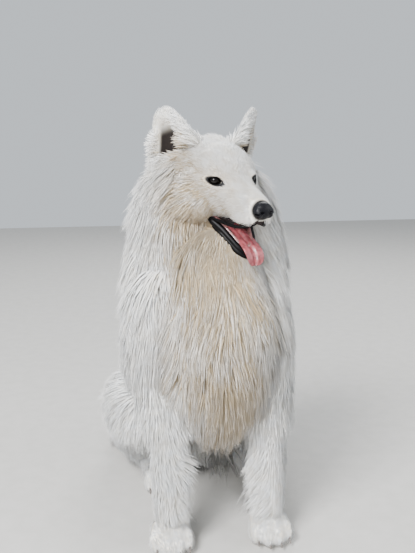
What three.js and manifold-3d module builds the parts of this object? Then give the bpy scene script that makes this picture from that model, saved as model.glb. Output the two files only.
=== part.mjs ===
// A life-size samoyed dog that sits and pants, with its head turned to its left.
// Millimetres, +Z up. The dog faces -Y, so its own left side is +X.
// While it is modelled, the origin is on the floor midway between the front paws.
import * as THREE from "three";
import { mergeVertices } from "three/addons/utils/BufferGeometryUtils.js";
import Module from "manifold-3d";

const wasm = await Module();
wasm.setup();
const { Manifold, Mesh: SolidMesh } = wasm;
const v3 = (x, y, z) => new THREE.Vector3(x, y, z);

// Driving dimensions
const GAP = 0.35; // clearance that neighbouring nodes keep
const CORE_SHARE = 0.45; // how far the coat's core reaches from the skin to the tips
const HEAD_AT = v3(27, 31, 618); // midway between the eyes
const HEAD_TURN = THREE.MathUtils.degToRad(23); // to the dog's left
const HEAD_NOD = THREE.MathUtils.degToRad(7); // nose down
const GAPE = THREE.MathUtils.degToRad(27); // how far the lower jaw drops
const EYE = { x: 33, y: 8, z: 0, r: 11.8, turn: THREE.MathUtils.degToRad(30) };
const PAW_X = 86; // half the distance between the front paws
const LOCK_REACH = 1; // where along the coat the tips of the locks end
const WITH_LOCKS = true;
const FLOOR_FLAT = 2.5; // how deep the floor flattens what rests on it
const SIDES = 12;

// Colours of the finished surfaces
const WHITE_COAT = { color: 0xe9e4da, roughness: 0.9, metalness: 0 };
const BLACK_SKIN = { color: 0x17171b, roughness: 0.45, metalness: 0 };
const PINK_TONGUE = { color: 0xc9707a, roughness: 0.4, metalness: 0 };
const DARK_EYE = { color: 0x120c0a, roughness: 0.08, metalness: 0 };

// A closed surface through rings. Each ring has a centre, two half-axes and a number of sides.
function ringSurface(rings, capStart, capEnd) {
  const sides = rings[0].length;
  const points = [capStart, ...rings.flat(), capEnd];
  const index = [];
  const at = (ring, side) => 1 + ring * sides + (side % sides);
  const last = points.length - 1;
  for (let s = 0; s < sides; s++) {
    index.push(0, at(0, s + 1), at(0, s));
    index.push(last, at(rings.length - 1, s), at(rings.length - 1, s + 1));
    for (let r = 0; r + 1 < rings.length; r++) {
      index.push(at(r, s), at(r, s + 1), at(r + 1, s + 1));
      index.push(at(r, s), at(r + 1, s + 1), at(r + 1, s));
    }
  }
  const geometry = new THREE.BufferGeometry().setFromPoints(points);
  geometry.setIndex(index);
  return geometry;
}

// A geometry as a solid, turned the right way out whatever way its faces wind.
function solid(geometry) {
  const bare = geometry.clone();
  for (const name of Object.keys(bare.attributes)) {
    if (name !== "position") bare.deleteAttribute(name);
  }
  const merged = mergeVertices(bare, 1e-4);
  const vertProperties = merged.attributes.position.array;
  const make = (triVerts) => new Manifold(new SolidMesh({ numProp: 3, vertProperties, triVerts }));
  const triVerts = new Uint32Array(merged.index.array);
  const made = make(triVerts);
  if (made.volume() >= 0) return made;
  for (let i = 0; i < triVerts.length; i += 3) {
    [triVerts[i], triVerts[i + 1]] = [triVerts[i + 1], triVerts[i]];
  }
  return make(triVerts);
}

const join = (solids) => solids.reduce((a, b) => a.add(b));

// The largest closed surface of a solid: a loose scrap or a sealed hollow is left behind.
function largest(made) {
  return made.decompose().reduce((a, b) => (b.volume() > a.volume() ? b : a));
}

function meshOf(name, made, look) {
  const raw = made.getMesh();
  const geometry = new THREE.BufferGeometry();
  geometry.setAttribute("position", new THREE.BufferAttribute(new Float32Array(raw.vertProperties), 3));
  geometry.setIndex(new THREE.BufferAttribute(new Uint32Array(raw.triVerts), 1));
  geometry.computeVertexNormals();
  const mesh = new THREE.Mesh(geometry, new THREE.MeshStandardMaterial(look));
  mesh.name = name;
  return mesh;
}

// A body part as a chain of round sections [x, y, z, skin radius, coat depth], squeezed across by flat.
class Limb {
  constructor(name, sections, flat = 1, steps = 6) {
    this.name = name;
    this.flat = flat;
    const places = sections.map((s) => v3(s[0] / flat, s[1], s[2]));
    this.curve = new THREE.CatmullRomCurve3(places, false, "centripetal");
    this.sections = sections;
    this.steps = steps;
    this.chain = Array.from({ length: steps + 1 }, (_, i) => {
      const t = i / steps;
      return { at: this.curve.getPoint(t), core: this.read(t, 3) + CORE_SHARE * this.read(t, 4) };
    });
  }

  // A column of the sections table, read between the sections at t from 0 to 1.
  read(t, column) {
    const s = this.sections;
    const place = Math.min(t * (s.length - 1), s.length - 1 - 1e-9);
    const i = Math.floor(place);
    return THREE.MathUtils.lerp(s[i][column], s[i + 1][column], THREE.MathUtils.smoothstep(place - i, 0, 1));
  }

  // Distance from a point to the core's surface, negative inside, with the place along the chain.
  measure(point) {
    const p = v3(point.x / this.flat, point.y, point.z);
    let best = { d: Infinity, t: 0 };
    for (let i = 0; i < this.steps; i++) {
      const a = this.chain[i];
      const b = this.chain[i + 1];
      const ab = b.at.clone().sub(a.at);
      const h = THREE.MathUtils.clamp(p.clone().sub(a.at).dot(ab) / ab.lengthSq(), 0, 1);
      const d = p.distanceTo(a.at.clone().addScaledVector(ab, h)) - THREE.MathUtils.lerp(a.core, b.core, h);
      if (d < best.d) best = { d, t: (i + h) / this.steps };
    }
    return best;
  }

  coatAt(point) {
    return this.read(this.measure(point).t, 4);
  }

  geometry(grow = 0, sides = SIDES) {
    const rings = [];
    const cap = [0.35, 0.75];
    const sideways = v3(1, 0, 0); // carried along the chain, so the rings don't twist
    const ringAt = (centre, along, radius) => {
      const side = sideways.addScaledVector(along, -along.dot(sideways)).normalize().clone();
      const up = along.clone().cross(side).normalize();
      return Array.from({ length: sides }, (_, i) => {
        const a = (2 * Math.PI * (i + 0.5)) / sides;
        const p = centre.clone().addScaledVector(side, radius * Math.cos(a));
        p.addScaledVector(up, radius * Math.sin(a));
        return v3(p.x * this.flat, p.y, p.z);
      });
    };
    const { chain, steps } = this;
    const along = (i) => {
      const back = chain[Math.max(i - 1, 0)].at;
      return chain[Math.min(i + 1, steps)].at.clone().sub(back).normalize();
    };
    const endRings = (i, sense) =>
      cap.map((c) => {
        const r = chain[i].core + grow;
        const t = along(i);
        const centre = chain[i].at.clone().addScaledVector(t, sense * r * Math.cos(c * Math.PI * 0.5));
        return ringAt(centre, t, r * Math.sin(c * Math.PI * 0.5));
      });
    rings.push(...endRings(0, -1));
    for (let i = 0; i <= steps; i++) rings.push(ringAt(chain[i].at, along(i), chain[i].core + grow));
    rings.push(...endRings(steps, 1).reverse());
    const pole = (i, sense) => {
      const p = chain[i].at.clone().addScaledVector(along(i), sense * (chain[i].core + grow));
      return v3(p.x * this.flat, p.y, p.z);
    };
    return ringSurface(rings, pole(0, -1), pole(steps, 1));
  }
}

// Body parts, skin radius and coat depth in the last two columns
const limbs = {
  neck: new Limb("neck", [
    [0, 76, 425, 68, 42], [-1, 108, 500, 68, 38], [-5, 120, 560, 62, 36], [-8, 118, 612, 52, 30],
  ], 1.5),
  chest: new Limb("chest", [
    [0, 30, 480, 52, 40], [0, 8, 430, 60, 46], [0, 0, 360, 62, 48], [0, 22, 285, 54, 46],
    [0, 50, 228, 32, 42],
  ]),
  torso: new Limb("torso", [
    [0, 70, 400, 106, 44], [0, 120, 345, 116, 44], [0, 190, 270, 110, 44], [0, 250, 195, 100, 44],
    [0, 300, 136, 96, 44], [0, 335, 88, 82, 42],
  ], 0.88),
  tail: new Limb("tail", [
    [0, 392, 125, 24, 34], [-22, 438, 66, 20, 42], [-78, 466, 32, 17, 42], [-146, 458, 26, 13, 38],
  ]),
};
for (const [side, sense] of [["left", 1], ["right", -1]]) {
  const left = side === "left";
  limbs["foreleg_" + side] = new Limb("foreleg_" + side, [
    [sense * 62, 60, 440, 52, 28], [sense * 74, 46, 380, 45, 24], [sense * 83, 56, 310, 38, 20],
    [sense * PAW_X, 34, 215, 28, 16],
    [sense * PAW_X, 12, 110, 22, 16], [sense * PAW_X, 2, 62, 21, 14],
  ]);
  limbs["foreleg_" + side].behindOnly = true; // its feathers hang from the back of the leg
  limbs["thigh_" + side] = new Limb("thigh_" + side, [
    [sense * 84, 318, 118, 78, 40], [sense * 98, 262, 160, 72, 40], [sense * 112, 205, 165, 50, 32],
  ], 0.9);
  limbs["hind_foot_" + side] = new Limb("hind_foot_" + side, left
    ? [[100, 300, 38, 22, 14], [112, 240, 28, 21, 12], [119, 180, 22, 23, 10], [121, 156, 21, 22, 8]]
    : [[-92, 318, 38, 22, 14], [-88, 280, 28, 21, 12], [-80, 232, 22, 23, 10], [-78, 208, 21, 22, 8]]);
}

// The head's own frame: the origin midway between the eyes, -Y out along the muzzle, +X the dog's left
const headFrame = new THREE.Matrix4().compose(
  HEAD_AT,
  new THREE.Quaternion().setFromEuler(new THREE.Euler(HEAD_NOD, 0, HEAD_TURN, "ZYX")),
  v3(1, 1, 1),
);
const inHead = (x, y, z) => v3(x, y, z).applyMatrix4(headFrame);

// The head as the coat of the neck meets it
const headForm = new Limb("head", [[0, 66, -4, 58, 14], [0, 10, -8, 48, 12], [0, -60, -34, 22, 6]]
  .map(([x, y, z, ...radii]) => [...inHead(x, y, z).toArray(), ...radii]));

// Distance to the nearest core of the whole body, or of some of its parts
function bodyDistance(point, names = Object.keys(limbs)) {
  return Math.min(...names.map((name) => limbs[name].measure(point).d));
}

function outward(point) {
  const step = 1.5;
  const slope = (axis) => {
    const hi = point.clone();
    const lo = point.clone();
    hi[axis] += step;
    lo[axis] -= step;
    return bodyDistance(hi) - bodyDistance(lo);
  };
  return v3(slope("x"), slope("y"), slope("z")).normalize();
}

// A seeded random draw, the same in each run
function seeded(seed) {
  let state = seed;
  return () => {
    state = (state + 0x6d2b79f5) | 0;
    let t = Math.imul(state ^ (state >>> 15), 1 | state);
    t = (t + Math.imul(t ^ (t >>> 7), 61 | t)) ^ t;
    return ((t ^ (t >>> 14)) >>> 0) / 4294967296;
  };
}

// The way the coat lies on each part
const lie = {
  neck: (p) => v3(p.x * 0.004, p.y > 100 ? 0.35 : -0.12, -1),
  chest: (p) => v3(-p.x * 0.003, 0.1, -1),
  torso: (p) => v3(0, 0.55 + Math.min(0, (p.z - 330) * 0.001), -0.8),
  tail: (p) => v3(-0.8, p.x < -40 ? -0.15 : 0.5, -0.25),
  foreleg: (p) => v3(0, p.y > 30 ? 0.35 : 0, -1),
  thigh: (p) => v3(0, 0.35, -0.9),
  hind_foot: (p) => v3(0, -1, -0.1),
};
const kindOf = (name) => name.replace(/_(left|right)$/, "");

// Sizes of each part's locks: spacing between roots, length, half-width, half-thickness
const locks = {
  neck: { spacing: 54, length: 96, wide: 23, thick: 5.5 },
  chest: { spacing: 50, length: 100, wide: 22, thick: 5.5 },
  torso: { spacing: 62, length: 104, wide: 28, thick: 6 },
  tail: { spacing: 40, length: 84, wide: 18, thick: 5 },
  foreleg: { spacing: 52, length: 70, wide: 16, thick: 4.5 },
  thigh: { spacing: 60, length: 90, wide: 24, thick: 5.5 },
};
const ROOT_DEPTH = 12;
const LOWEST_LOCK = 9;

// One flat, tapered lock that bends over the body from its root, as a closed solid.
// A lock that would fold on itself is left out.
function lockSolid(root, kind, size, lift, turn, grow) {
  const rings = [];
  const p = root.clone();
  const shape = [[0, 0.6, 1], [0.34, 1, 1], [0.7, 0.72, 0.8], [1, 0, 0]];
  let tip = null;
  let done = 0;
  let last = null;
  let lastSide = null;
  for (const [share, width, thickness] of shape) {
    for (let n = outward(p); done < share; n = outward(p)) {
      const way = lie[kind](p).normalize();
      way.addScaledVector(n, -way.dot(n)).normalize();
      way.applyAxisAngle(n, turn);
      p.addScaledVector(way, size.length * (share - done));
      done = share;
    }
    const rise = -ROOT_DEPTH + (lift + ROOT_DEPTH) * Math.pow(share, 0.85);
    for (let i = 0; i < 3; i++) p.addScaledVector(outward(p), rise - bodyDistance(p));
    p.z = Math.max(p.z, LOWEST_LOCK);
    const n = outward(p);
    const way = lie[kind](p).normalize();
    way.addScaledVector(n, -way.dot(n)).normalize();
    const side = way.clone().cross(n).normalize();
    const step = p.clone().sub(last ?? p);
    if (share > 0 && (side.dot(lastSide) < 0.75 || step.dot(way) < 0.5 * step.length())) return null;
    last = p.clone();
    lastSide = side;
    if (share === 1) {
      tip = p.clone().addScaledVector(way, 5 * grow);
    } else {
      const half = size.wide * width + 2 * grow;
      const deep = size.thick * thickness + 2 * grow;
      const centre = p.clone().addScaledVector(way, share === 0 ? -4 * grow : 0);
      const corner = (axis, reach) => centre.clone().addScaledVector(axis, reach);
      rings.push([corner(side, half), corner(n, deep), corner(side, -half), corner(n, -deep)]);
    }
  }
  return solid(ringSurface(rings, rings[0][0].clone().add(rings[0][2]).multiplyScalar(0.5), tip));
}

// Roots spread evenly over a part's core by a seeded draw, clear of the parts that cover it
function lockRoots(limb, spacing, seed, lowest) {
  const random = seeded(seed);
  const g = limb.geometry();
  const pos = g.attributes.position;
  const index = g.index.array;
  const areas = [];
  let total = 0;
  const corner = (i) => new THREE.Vector3().fromBufferAttribute(pos, index[i]);
  for (let i = 0; i < index.length; i += 3) {
    total += new THREE.Triangle(corner(i), corner(i + 1), corner(i + 2)).getArea();
    areas.push(total);
  }
  const others = Object.keys(limbs).filter((name) => name !== limb.name);
  const kept = [];
  for (let tries = 0; tries < 2600; tries++) {
    const pick = random() * total;
    const i = 3 * areas.findIndex((a) => a >= pick);
    const u = Math.sqrt(random());
    const w = random();
    const p = corner(i).multiplyScalar(1 - u).addScaledVector(corner(i + 1), u * (1 - w))
      .addScaledVector(corner(i + 2), u * w);
    if (p.z < lowest || bodyDistance(p, others) < 4 || headForm.measure(p).d < 0) continue;
    if (limb.behindOnly && p.y < limb.chain[Math.round(limb.measure(p).t * limb.steps)].at.y) continue;
    if (kept.every((q) => q.distanceTo(p) > spacing)) kept.push(p);
  }
  return kept;
}

// A round solid with its own radii, turned about X by tilt and then about Z by turn
function ball(at, radii, { tilt = 0, turn = 0, detail = 9, grow = 0 } = {}) {
  const g = new THREE.SphereGeometry(1, detail, Math.round(detail * 0.6));
  g.scale(radii[0] + grow, radii[1] + grow, radii[2] + grow);
  g.rotateX(tilt);
  g.rotateZ(turn);
  g.translate(...at);
  return g;
}
const headSolid = (geometry) => solid(geometry.clone().applyMatrix4(headFrame));

// Stations of the skull and muzzle in the head's frame: y, top, bottom, half-width, squareness
const SKULL = [
  [122, 18, -40, 42, 2], [104, 50, -62, 68, 2], [66, 67, -72, 82, 2], [30, 58, -72, 80, 2.1],
  [8, 38, -66, 66, 2.1], [-10, 17, -62, 50, 2.1], [-28, 6, -61, 38, 2.2], [-50, -1, -62, 31, 2.4],
  [-70, -7, -58, 26, 2.4], [-84, -13, -50, 19, 2.2],
];
// The same for the lower jaw, whose top is its lip line
const JAW = [
  [52, -62, -92, 30, 2], [30, -62, -98, 37, 2.2], [8, -64, -104, 34, 2.4], [-16, -79, -112, 26, 2.4],
  [-38, -96, -122, 20, 2.4], [-54, -108, -129, 15, 2.2],
];

function stationRings(stations, grow, sides) {
  return stations.map(([y, top, bottom, halfWidth, square]) => {
    const middle = (top + bottom) / 2;
    const half = (top - bottom) / 2 + grow;
    return Array.from({ length: sides }, (_, i) => {
      const a = (2 * Math.PI * (i + 0.5)) / sides;
      const bent = (value) => Math.sign(value) * Math.pow(Math.abs(value), 2 / square);
      return v3((halfWidth + grow) * bent(Math.cos(a)), y, middle + half * bent(Math.sin(a)));
    });
  });
}

function stationLoft(stations, grow = 0, bulge = 6, sides = 14) {
  const pole = ([y, top, bottom], sense) => v3(0, y + sense * (bulge + grow), (top + bottom) / 2);
  const rings = stationRings(stations, grow, sides);
  return ringSurface(rings, pole(stations[0], 1), pole(stations[stations.length - 1], -1));
}

const SIDED = [["left", 1], ["right", -1]];
const LID = 4; // how far the lids stand round the eyeball
const ALMOND = { long: 13, high: 5.6, rise: THREE.MathUtils.degToRad(14) }; // the eye's opening

function eyeSolid(sense, grow = 0, extra = 0) {
  const r = EYE.r + extra;
  return headSolid(ball([sense * EYE.x, EYE.y, EYE.z], [r, r, r], { grow, detail: 12 }));
}

// The opening between the lids, which runs out of the head along the eye's own direction
function almondCut(sense) {
  const depth = EYE.r * 2;
  const g = new THREE.CylinderGeometry(1, 1, depth, 14);
  g.scale(ALMOND.long, 1, ALMOND.high);
  g.rotateY(-sense * ALMOND.rise);
  g.translate(0, -depth / 2, 0);
  g.rotateZ(sense * EYE.turn);
  g.translate(sense * EYE.x, EYE.y, EYE.z);
  return headSolid(g);
}

const NOSE = { y: -86, z: -27, halfWidth: 18, halfHeight: 13.5, depth: 12 };

function noseSolid(grow = 0) {
  const pad = headSolid(ball([0, NOSE.y, NOSE.z], [NOSE.halfWidth, NOSE.depth, NOSE.halfHeight],
    { grow, detail: 12 }));
  if (grow) return pad;
  const nostrils = SIDED.map(([, sense]) => headSolid(ball(
    [sense * NOSE.halfWidth * 0.5, NOSE.y - NOSE.depth * 0.8, NOSE.z + 1], [4.6, 7, 3.6],
    { detail: 8, turn: sense * 0.6 },
  )));
  return pad.subtract(join(nostrils));
}

// The tongue lies on the jaw and hangs over its lip: place, half-width, half-thickness and slope
const TONGUE = [
  [[0, 14, -68], 15, 5, 0.3], [[0, -14, -79], 17, 5.5, 0.5], [[0, -42, -96], 17, 5.5, 0.7],
  [[0, -60, -106], 17, 5, 0.9], [[0, -71, -119], 16, 4.5, 1.35], [[0, -74, -130], 11, 3.5, 1.55],
];

function tongueSolid(grow = 0) {
  const sides = 14;
  const rings = TONGUE.map(([at, halfWidth, thick, slope]) => {
    const up = v3(0, -Math.sin(slope), Math.cos(slope));
    return Array.from({ length: sides }, (_, i) => {
      const a = (2 * Math.PI * (i + 0.5)) / sides;
      const groove = Math.sin(a) > 0 ? 1 - 0.5 * Math.exp(-((Math.cos(a) / 0.25) ** 2)) : 1;
      return v3(...at).addScaledVector(v3(1, 0, 0), (halfWidth + grow) * Math.cos(a))
        .addScaledVector(up, (thick * groove + grow) * Math.sin(a));
    });
  });
  const ends = [v3(0, 19 + grow, -66), v3(0, -75 - grow * 0.2, -137 - grow)];
  return headSolid(ringSurface(rings, ...ends));
}

// Lower canines and the row of incisors between them: x, y, z, radius, height
const CANINE = [11.5, -52, -107, 3.2, 13];
const INCISOR = { count: 6, pitch: 3.2, y: -60, z: -109, radius: 1.8, height: 7 };

function toothSolid(x, y, z, radius, height, grow = 0) {
  const g = new THREE.ConeGeometry(radius + grow, height + 2 * grow, 7);
  g.rotateX(Math.PI / 2 + 0.25);
  g.translate(x, y, z + height / 2 - 3);
  return headSolid(g);
}

function jawSolid(grow = 0) {
  const bone = headSolid(stationLoft(JAW, grow, 5, 12));
  const teeth = SIDED.map(([, sense]) => toothSolid(sense * CANINE[0], ...CANINE.slice(1), grow));
  for (let i = 0; i < INCISOR.count; i++) {
    const x = (i - (INCISOR.count - 1) / 2) * INCISOR.pitch;
    const { y, z, radius, height } = INCISOR;
    teeth.push(toothSolid(x, y + Math.abs(x) * 0.5, z, radius, height, grow));
  }
  return join([bone, ...teeth]);
}

function headShape(grow = 0) {
  const forms = [stationLoft(SKULL, grow)];
  for (const [, sense] of SIDED) {
    forms.push(
      ball([sense * 15, -54, -46], [17, 30, 19], { grow }), // flews
      ball([sense * 44, 34, -34], [38, 42, 42], { grow }), // cheek
      ball([sense * 25, 18, 20], [20, 18, 14], { grow, turn: sense * 0.4 }), // brow
      ball([sense * EYE.x, EYE.y, EYE.z], [EYE.r + LID, EYE.r + LID, EYE.r + LID], { grow }),
    );
  }
  return join(forms.map(headSolid));
}

// The room between the jaws, which the coat of the throat stays out of
const MOUTH = [
  [14, -60, -66, 34, 2.4], [-20, -56, -86, 32, 2.4], [-60, -52, -118, 30, 2.4], [-110, -48, -156, 30, 2.4],
];

function headNode() {
  const palate = headSolid(ball([0, -34, -70], [19, 42, 15]));
  const furrow = headSolid(ball([0, 34, 76], [5, 40, 9], { detail: 8 }));
  const openings = SIDED.map(([, sense]) => almondCut(sense));
  return headShape().subtract(join([palate, furrow, ...openings]));
}

// An ear runs from inside the skull to a rounded tip, with a cup in its front
const EAR = { inner: [26, 74, 58], outer: [86, 84, 14], tip: [80, 88, 107], thick: 9 };

function earShape(sense, { grow = 0, shrink = 0, forward = 0, from = -0.3 } = {}) {
  const side = (place) => v3(sense * place[0], place[1], place[2]);
  const base = side(EAR.inner).lerp(side(EAR.outer), 0.5);
  const across = side(EAR.outer).sub(side(EAR.inner));
  const halfBase = across.length() / 2;
  across.normalize();
  const up = side(EAR.tip).sub(base);
  const front = across.clone().cross(up).normalize();
  if (front.y > 0) front.negate();
  const rings = [];
  for (const share of [from, 0, 0.3, 0.58, 0.8, 0.93]) {
    const narrow = Math.pow(1 - Math.max(share, 0) * 0.97, 0.52);
    const half = halfBase * narrow * (1 - shrink) + grow;
    const thick = EAR.thick * (1 - shrink) * (1 - 0.45 * Math.max(share, 0)) + grow;
    const centre = base.clone().addScaledVector(up, share).addScaledVector(front, forward);
    rings.push(Array.from({ length: 12 }, (_, i) => {
      const a = (2 * Math.PI * i) / 12;
      return centre.clone().addScaledVector(across, half * Math.cos(a))
        .addScaledVector(front, thick * Math.sin(a));
    }));
  }
  const end = (share) => base.clone().addScaledVector(up, share).addScaledVector(front, forward);
  return headSolid(ringSurface(rings, end(from - 0.05 - grow / 70), end(1 - 0.12 * shrink + grow / 70)));
}

const earNode = (sense) =>
  earShape(sense).subtract(earShape(sense, { shrink: 0.32, forward: EAR.thick * 0.9, from: 0.07 }));

// Paws: a low palm, four toes that arch from it and a claw at each
const PAW = { palm: [31, 40, 27], toe: [14.5, 25, 19], claw: [3.4, 13] };

function pawSolid(x, y, grow = 0, turn = 0) {
  const place = (geometry) => solid(geometry.rotateZ(turn).translate(x, y, 0));
  const palm = ball([0, 8, PAW.palm[2] - FLOOR_FLAT], PAW.palm, { grow });
  const solids = [place(palm)];
  for (const [across, ahead] of [[-27, -17], [-10, -29], [10, -29], [27, -17]]) {
    const toe = ball([across, ahead, PAW.toe[2] - FLOOR_FLAT], PAW.toe, { grow, tilt: 0.12, detail: 8 });
    const claw = new THREE.ConeGeometry(PAW.claw[0] + grow, PAW.claw[1] + grow, 6);
    claw.rotateX(Math.PI / 2 + 0.5);
    claw.translate(across, ahead - PAW.toe[1] - 1, 12);
    solids.push(place(toe), place(claw));
  }
  return join(solids);
}

const floor = solid(new THREE.BoxGeometry(2000, 2000, 400).translate(0, 0, -200));

// Every lock of one part, as solids
const lockSets = {};
function lockSolids(name, grow) {
  const kind = kindOf(name);
  const size = locks[kind];
  if (!size || !WITH_LOCKS) return [];
  const limb = limbs[name];
  lockSets[name] ??= lockRoots(limb, size.spacing, name.length * 7 + 3, 26);
  const random = seeded(11 + name.length);
  return lockSets[name].map((root) => {
    const lift = (LOCK_REACH - CORE_SHARE) * limb.coatAt(root) * (0.85 + 0.3 * random());
    const turn = (random() - 0.5) * 0.5;
    const share = 0.85 + 0.35 * random();
    return lockSolid(root, kind, { ...size, length: size.length * share }, lift, turn, grow);
  }).filter((made) => made);
}

function limbSolid(name, grow = 0) {
  return join([solid(limbs[name].geometry(grow)), ...lockSolids(name, grow)]);
}

// Nodes in the order in which they give way: each is cut clear of all before it
const parts = [];
const addPart = (name, look, made, grown) => parts.push({ name, look, made, grown });
for (const [side, sense] of SIDED) {
  addPart("eye_" + side, DARK_EYE, () => eyeSolid(sense), () => eyeSolid(sense, GAP));
}
addPart("nose", BLACK_SKIN, () => noseSolid(), () => noseSolid(GAP));
addPart("tongue", PINK_TONGUE, () => tongueSolid(), () => tongueSolid(GAP));
addPart("jaw", WHITE_COAT, () => jawSolid(), () => jawSolid(GAP));
const mouthSpace = () => headSolid(stationLoft(MOUTH, 0, 2, 10));
addPart("head", WHITE_COAT, () => headNode(), () => headShape(GAP).add(mouthSpace()));
for (const [side, sense] of SIDED) {
  addPart("ear_" + side, WHITE_COAT, () => earNode(sense), () => earShape(sense, { grow: GAP }));
}
for (const name of ["neck", "chest", "torso"]) {
  addPart(name, WHITE_COAT, () => limbSolid(name), () => limbSolid(name, GAP));
}
for (const [side, sense] of SIDED) {
  const at = [sense * PAW_X, -8];
  addPart("forepaw_" + side, WHITE_COAT, () => pawSolid(...at), () => pawSolid(...at, GAP));
}
for (const kind of ["foreleg", "hind_foot", "thigh"]) {
  for (const [side] of SIDED) {
    const name = kind + "_" + side;
    addPart(name, WHITE_COAT, () => limbSolid(name), () => limbSolid(name, GAP));
  }
}
addPart("tail", WHITE_COAT, () => limbSolid("tail"), () => limbSolid("tail", GAP));

const dog = new THREE.Group();
dog.name = "samoyed";
const before = [];
for (const part of parts) {
  let made = part.made().subtract(floor);
  for (const grown of before) made = made.subtract(grown);
  made = largest(made);
  dog.add(meshOf(part.name, made, part.look));
  before.push(part.grown().add(made));
}

// The finished model stands with the middle of its footprint on the origin
const extent = new THREE.Box3().setFromObject(dog, true);
const middle = extent.getCenter(v3(0, 0, 0));
for (const mesh of dog.children) mesh.geometry.translate(-middle.x, -middle.y, -extent.min.z);

export default dog;
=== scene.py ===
"""A life-size samoyed that sits and pants, dressed over its solids.

Sizes are in millimetres in the modelling frame: the floor midway between the front paws is the
origin, the chest faces -Y and the dog's own left is +X. The head has a frame of its own, with its
origin midway between the eyes and -Y out along the muzzle.
"""

import logging
import math
from dataclasses import dataclass
from enum import Enum

import bpy
import numpy as np
from mathutils import Euler, Matrix, Vector


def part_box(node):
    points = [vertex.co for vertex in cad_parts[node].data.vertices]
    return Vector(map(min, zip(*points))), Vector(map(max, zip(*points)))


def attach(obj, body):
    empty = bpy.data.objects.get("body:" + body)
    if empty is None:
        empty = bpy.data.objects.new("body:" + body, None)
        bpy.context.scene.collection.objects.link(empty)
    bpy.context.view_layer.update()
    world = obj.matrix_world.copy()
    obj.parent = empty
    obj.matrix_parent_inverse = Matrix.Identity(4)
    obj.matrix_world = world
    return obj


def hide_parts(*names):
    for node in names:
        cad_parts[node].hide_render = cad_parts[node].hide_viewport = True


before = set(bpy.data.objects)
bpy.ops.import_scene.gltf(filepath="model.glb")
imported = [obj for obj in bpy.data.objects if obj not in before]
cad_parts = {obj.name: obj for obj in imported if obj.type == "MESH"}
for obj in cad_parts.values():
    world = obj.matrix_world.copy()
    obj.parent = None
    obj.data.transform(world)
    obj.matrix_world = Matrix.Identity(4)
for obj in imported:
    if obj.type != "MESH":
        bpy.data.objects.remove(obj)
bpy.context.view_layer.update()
LOG = logging.getLogger("samoyed")
MM = 0.001
TUBE_END = 0.35  # the radius of a tapered tube's ends, as a share
SIDES = (("left", 1), ("right", -1))

# The head's place and turn, as in the solids
HEAD_AT = (27, 31, 618)
HEAD_TURN = math.radians(23)
HEAD_NOD = math.radians(7)
EYE_X, EYE_Y, EYE_R = 33, 8, 11.8
EYE_TURN = math.radians(30)
PAW_X = 86

# The openings between the lids, and the black places round the eyes and the nose
ALMOND = (11.2, 6.6)  # half its width and half its height
ALMOND_RISE = math.radians(6)
ALMOND_POINT = 1.2  # how far its corners are drawn out, where 1 is an ellipse
EYE_BARE = (12.5, 8.6)
NOSE_BARE = (19, 16)
NOSE_Z = -33  # the nose's middle

# The coat
BODY_TUFTS = 100_000
HEAD_TUFTS = 46_000
LENGTH_BY_DEPTH = 1.9  # a lying tuft is this much longer than the coat is deep
ROUND_FROM = (0.0, 1.0, 0.2)  # the direction that the angle round a limb is measured by
LIMB_BLEND = 22.0  # how softly the coat of one limb passes into the next, in mm
FOOT_HAIR = 9  # the length of the hair on the feet
UNDERCOAT = 0.3  # the share of the tufts
SOLE_GAP = 0.3  # between the skin and the floor
FLOOR_GAP = (3.0, 4.0)  # the least height of a tuft over the floor, and how far that varies
CORNERS = 3  # of a tuft's section
LOCK_STEPS = (7, 13, 29)  # how the tone changes from lock to lock along X, Y and Z
LOCK_TONES = 11  # how many tones the locks have
CELL_PRIMES = (73856093, 19349663, 83492791)  # they name the cells that locks are drawn from
BAKE_COLUMNS, BAKE_ROWS = 4, 3  # the cells of the unwrapped skin, one for each limb
BAKE_MARGIN = 0.04  # of a cell, left free on each side
BAKE_PATCH = 0.003  # a tuft's size on the map

# What the lamps point at, in m, and the photograph's camera, with its place in mm
CHEST_AT = (0, 0, 0.4)
CAMERA_AT = (-221, -1129, 700)
CAMERA_TURN = math.radians(-10)
CAMERA_PITCH = math.radians(11.5)
CAMERA_LENS = 47.5
CAMERA_SENSOR = 36


def head_matrix() -> Matrix:
    """Return the matrix that takes the head's frame, in mm, to the modelling frame, in mm."""
    turn = Matrix.Rotation(HEAD_TURN, 4, "Z") @ Matrix.Rotation(HEAD_NOD, 4, "X")
    return Matrix.Translation(HEAD_AT) @ turn


def modelling_shift() -> Vector:
    """Find the modelling origin by the boxes of the solid eyes.

    Returns:
        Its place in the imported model, in mm.
    """
    corners = [corner for side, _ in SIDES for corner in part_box("eye_" + side)]
    middle = sum(corners, Vector()) / len(corners) / MM
    shift = middle - head_matrix() @ Vector((0, EYE_Y, 0))
    return Vector((shift.x, shift.y, 0))


SHIFT = modelling_shift()
HEAD = head_matrix()
TO_PACKED = Matrix.Scale(MM, 4) @ Matrix.Translation(SHIFT)
HEAD_TO_PACKED = TO_PACKED @ HEAD


def smooth(value: np.ndarray, low: float, high: float) -> np.ndarray:
    """Return a smooth step of value from 0 at low to 1 at high."""
    s = np.clip((value - low) / (high - low), 0, 1)
    return s * s * (3 - 2 * s)


def unit(vectors: np.ndarray) -> np.ndarray:
    """Return the vectors at length one."""
    return vectors / np.maximum(np.linalg.norm(vectors, axis=-1, keepdims=True), 1e-9)


def through(matrix: Matrix, points: np.ndarray) -> np.ndarray:
    """Return points moved by a matrix."""
    m = np.array(matrix)
    return points @ m[:3, :3].T + m[:3, 3]


# Modelling tools


def clear_selection() -> None:
    """Deselect everything and leave edit mode."""
    if bpy.context.object and bpy.context.object.mode != "OBJECT":
        bpy.ops.object.mode_set(mode="OBJECT")
    bpy.ops.object.select_all(action="DESELECT")


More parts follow.
